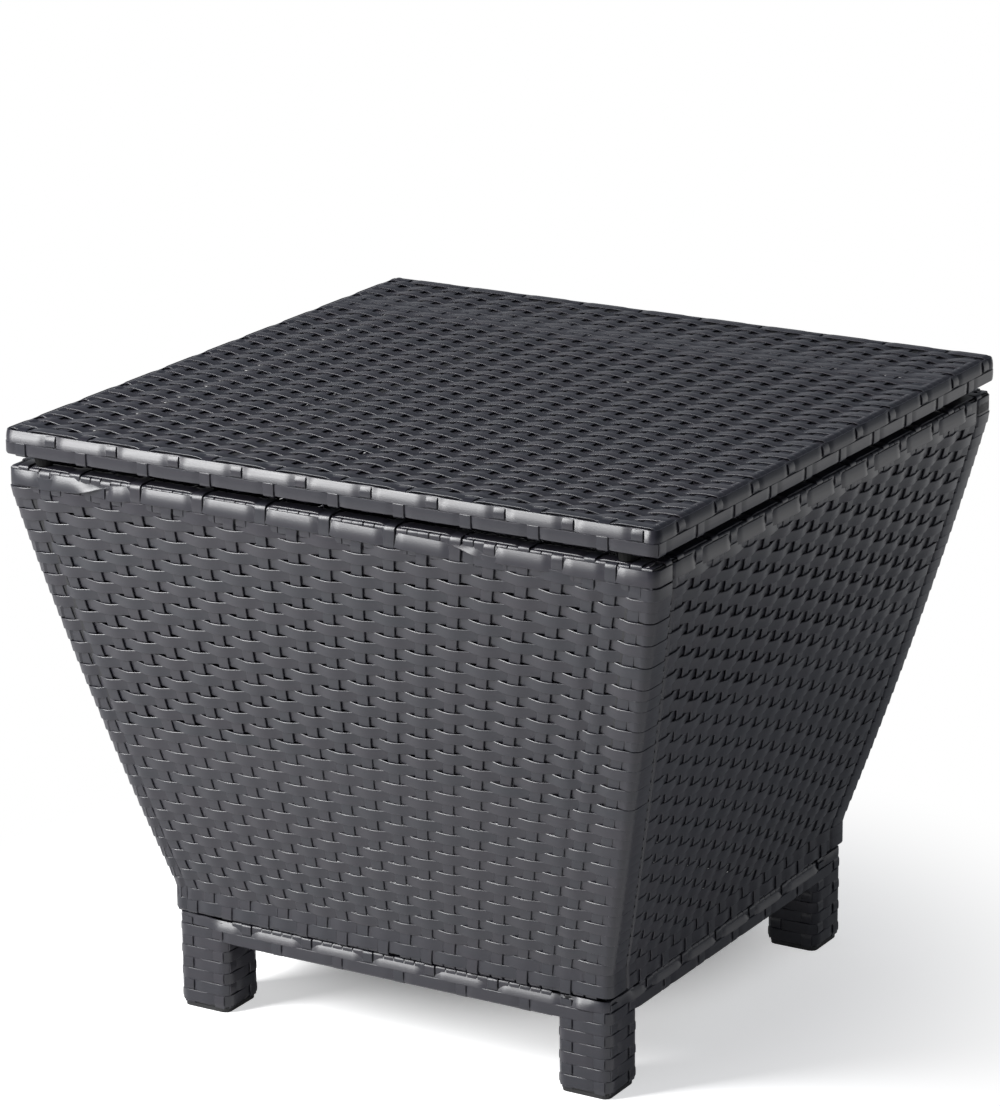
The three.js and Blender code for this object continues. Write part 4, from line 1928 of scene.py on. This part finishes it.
@dataclass(frozen=True)
class Studio:
    """White sweep, softbox and the camera at the picture's viewpoint."""

    camera_mm: tuple[float, float, float] = (1842.255, -3127.908, 1474.106)
    view: tuple[float, float, float] = (-0.48819997, 0.82305324, -0.29024843)
    right: tuple[float, float, float] = (0.86120914, 0.50819575, -0.00747675)
    up: tuple[float, float, float] = (-0.14134925, 0.25361475, 0.95692212)
    lens_mm: float = 148.0
    sensor_mm: float = 36.0
    floor_half: float = 6.0
    world_level: float = 0.16
    sweep_edge: tuple[float, float] = (0.3, 0.02)
    room: str = "#e6efff"

    def camera(self) -> None:
        """Make the camera."""
        lens = bpy.data.cameras.new("camera")
        lens.lens = self.lens_mm
        lens.sensor_width = self.sensor_mm
        lens.clip_end = 60.0
        eye = bpy.data.objects.new("camera", lens)
        axes = Matrix((self.right, self.up, [-v for v in self.view])).transposed().to_4x4()
        eye.matrix_world = Matrix.Translation(Vector(self.camera_mm) * MM) @ axes
        bpy.context.scene.collection.objects.link(eye)
        bpy.context.scene.camera = eye

    def world(self) -> None:
        """Make the surroundings: white to the camera, a dimmer white room to the object."""
        world = bpy.data.worlds.new("studio")
        bpy.context.scene.world = world
        world.use_nodes = True
        world.node_tree.nodes.clear()
        nodes = Nodes(world.node_tree)
        path = nodes.add("ShaderNodeLightPath").outputs
        clear = nodes.math("MAXIMUM", path["Is Camera Ray"], path["Is Transmission Ray"])
        # Gloss mirrors the white sweep up to a little above the horizon, and the dim room over it.
        direction = nodes.add("ShaderNodeTexCoord").outputs["Generated"]
        upward = nodes.add("ShaderNodeSeparateXYZ", {"Vector": direction}).outputs["Z"]
        sweep = nodes.ranged(upward, self.sweep_edge)
        glossy = nodes.math("MULTIPLY", path["Is Glossy Ray"], sweep)
        seen = nodes.math("MAXIMUM", clear, glossy)
        level = nodes.out(
            "ShaderNodeMix", {"Factor": seen, 2: self.world_level, 3: 1.0}, data_type="FLOAT"
        )
        tint = nodes.mix(seen, self.room, "#ffffff")
        sky = nodes.out("ShaderNodeBackground", {"Color": tint, "Strength": level})
        nodes.add("ShaderNodeOutputWorld", {"Surface": sky})

    def floor(self) -> None:
        """Make the paper floor."""
        reach = self.floor_half
        mesh = bpy.data.meshes.new("floor")
        corners = [(-reach, -reach, 0), (reach, -reach, 0), (reach, reach, 0), (-reach, reach, 0)]
        mesh.from_pydata(corners, [], [(0, 1, 2, 3)])
        paper = bpy.data.objects.new("floor", mesh)
        mesh.materials.append(StudioPaper().build())
        bpy.context.scene.collection.objects.link(paper)

    def build(self) -> None:
        """Set up the whole studio."""
        self.camera()
        self.world()
        self.floor()
        Softbox().build()
        bpy.context.scene.view_settings.view_transform = "Standard"


def main() -> None:
    """Build the table's looks piece by piece."""
    logging.basicConfig(level=logging.INFO, format="%(message)s")
    for leftover in list(bpy.data.objects):
        bpy.data.objects.remove(leftover)
    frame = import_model()
    Hardware(frame["nodes"]).dress()
    maker = StripMaker()
    wicker = ResinWicker()
    wrapping = (0.0, 0.014, -0.006, -0.025, -0.015)
    panels = [
        Panel(Side.FRONT, wrapping, 7.2, 23, 0.66, 101),
        Panel(Side.RIGHT, (0.0, 0.012, 0.017, 0.014, 0.0), 1.8, 16, 0.72, 201),
        Panel(Side.BACK, wrapping, 7.2, 4, 0.62, 301),
        Panel(Side.LEFT, (0.0, 0.014, 0.02, 0.016, 0.0), 1.8, 16, 0.72, 401),
    ]
    for panel in panels:
        panel.build(maker, wicker)
    Base().build(maker, wicker)
    Lid().build(maker, wicker)
    Studio().build()


if __name__ == "__main__":
    main()
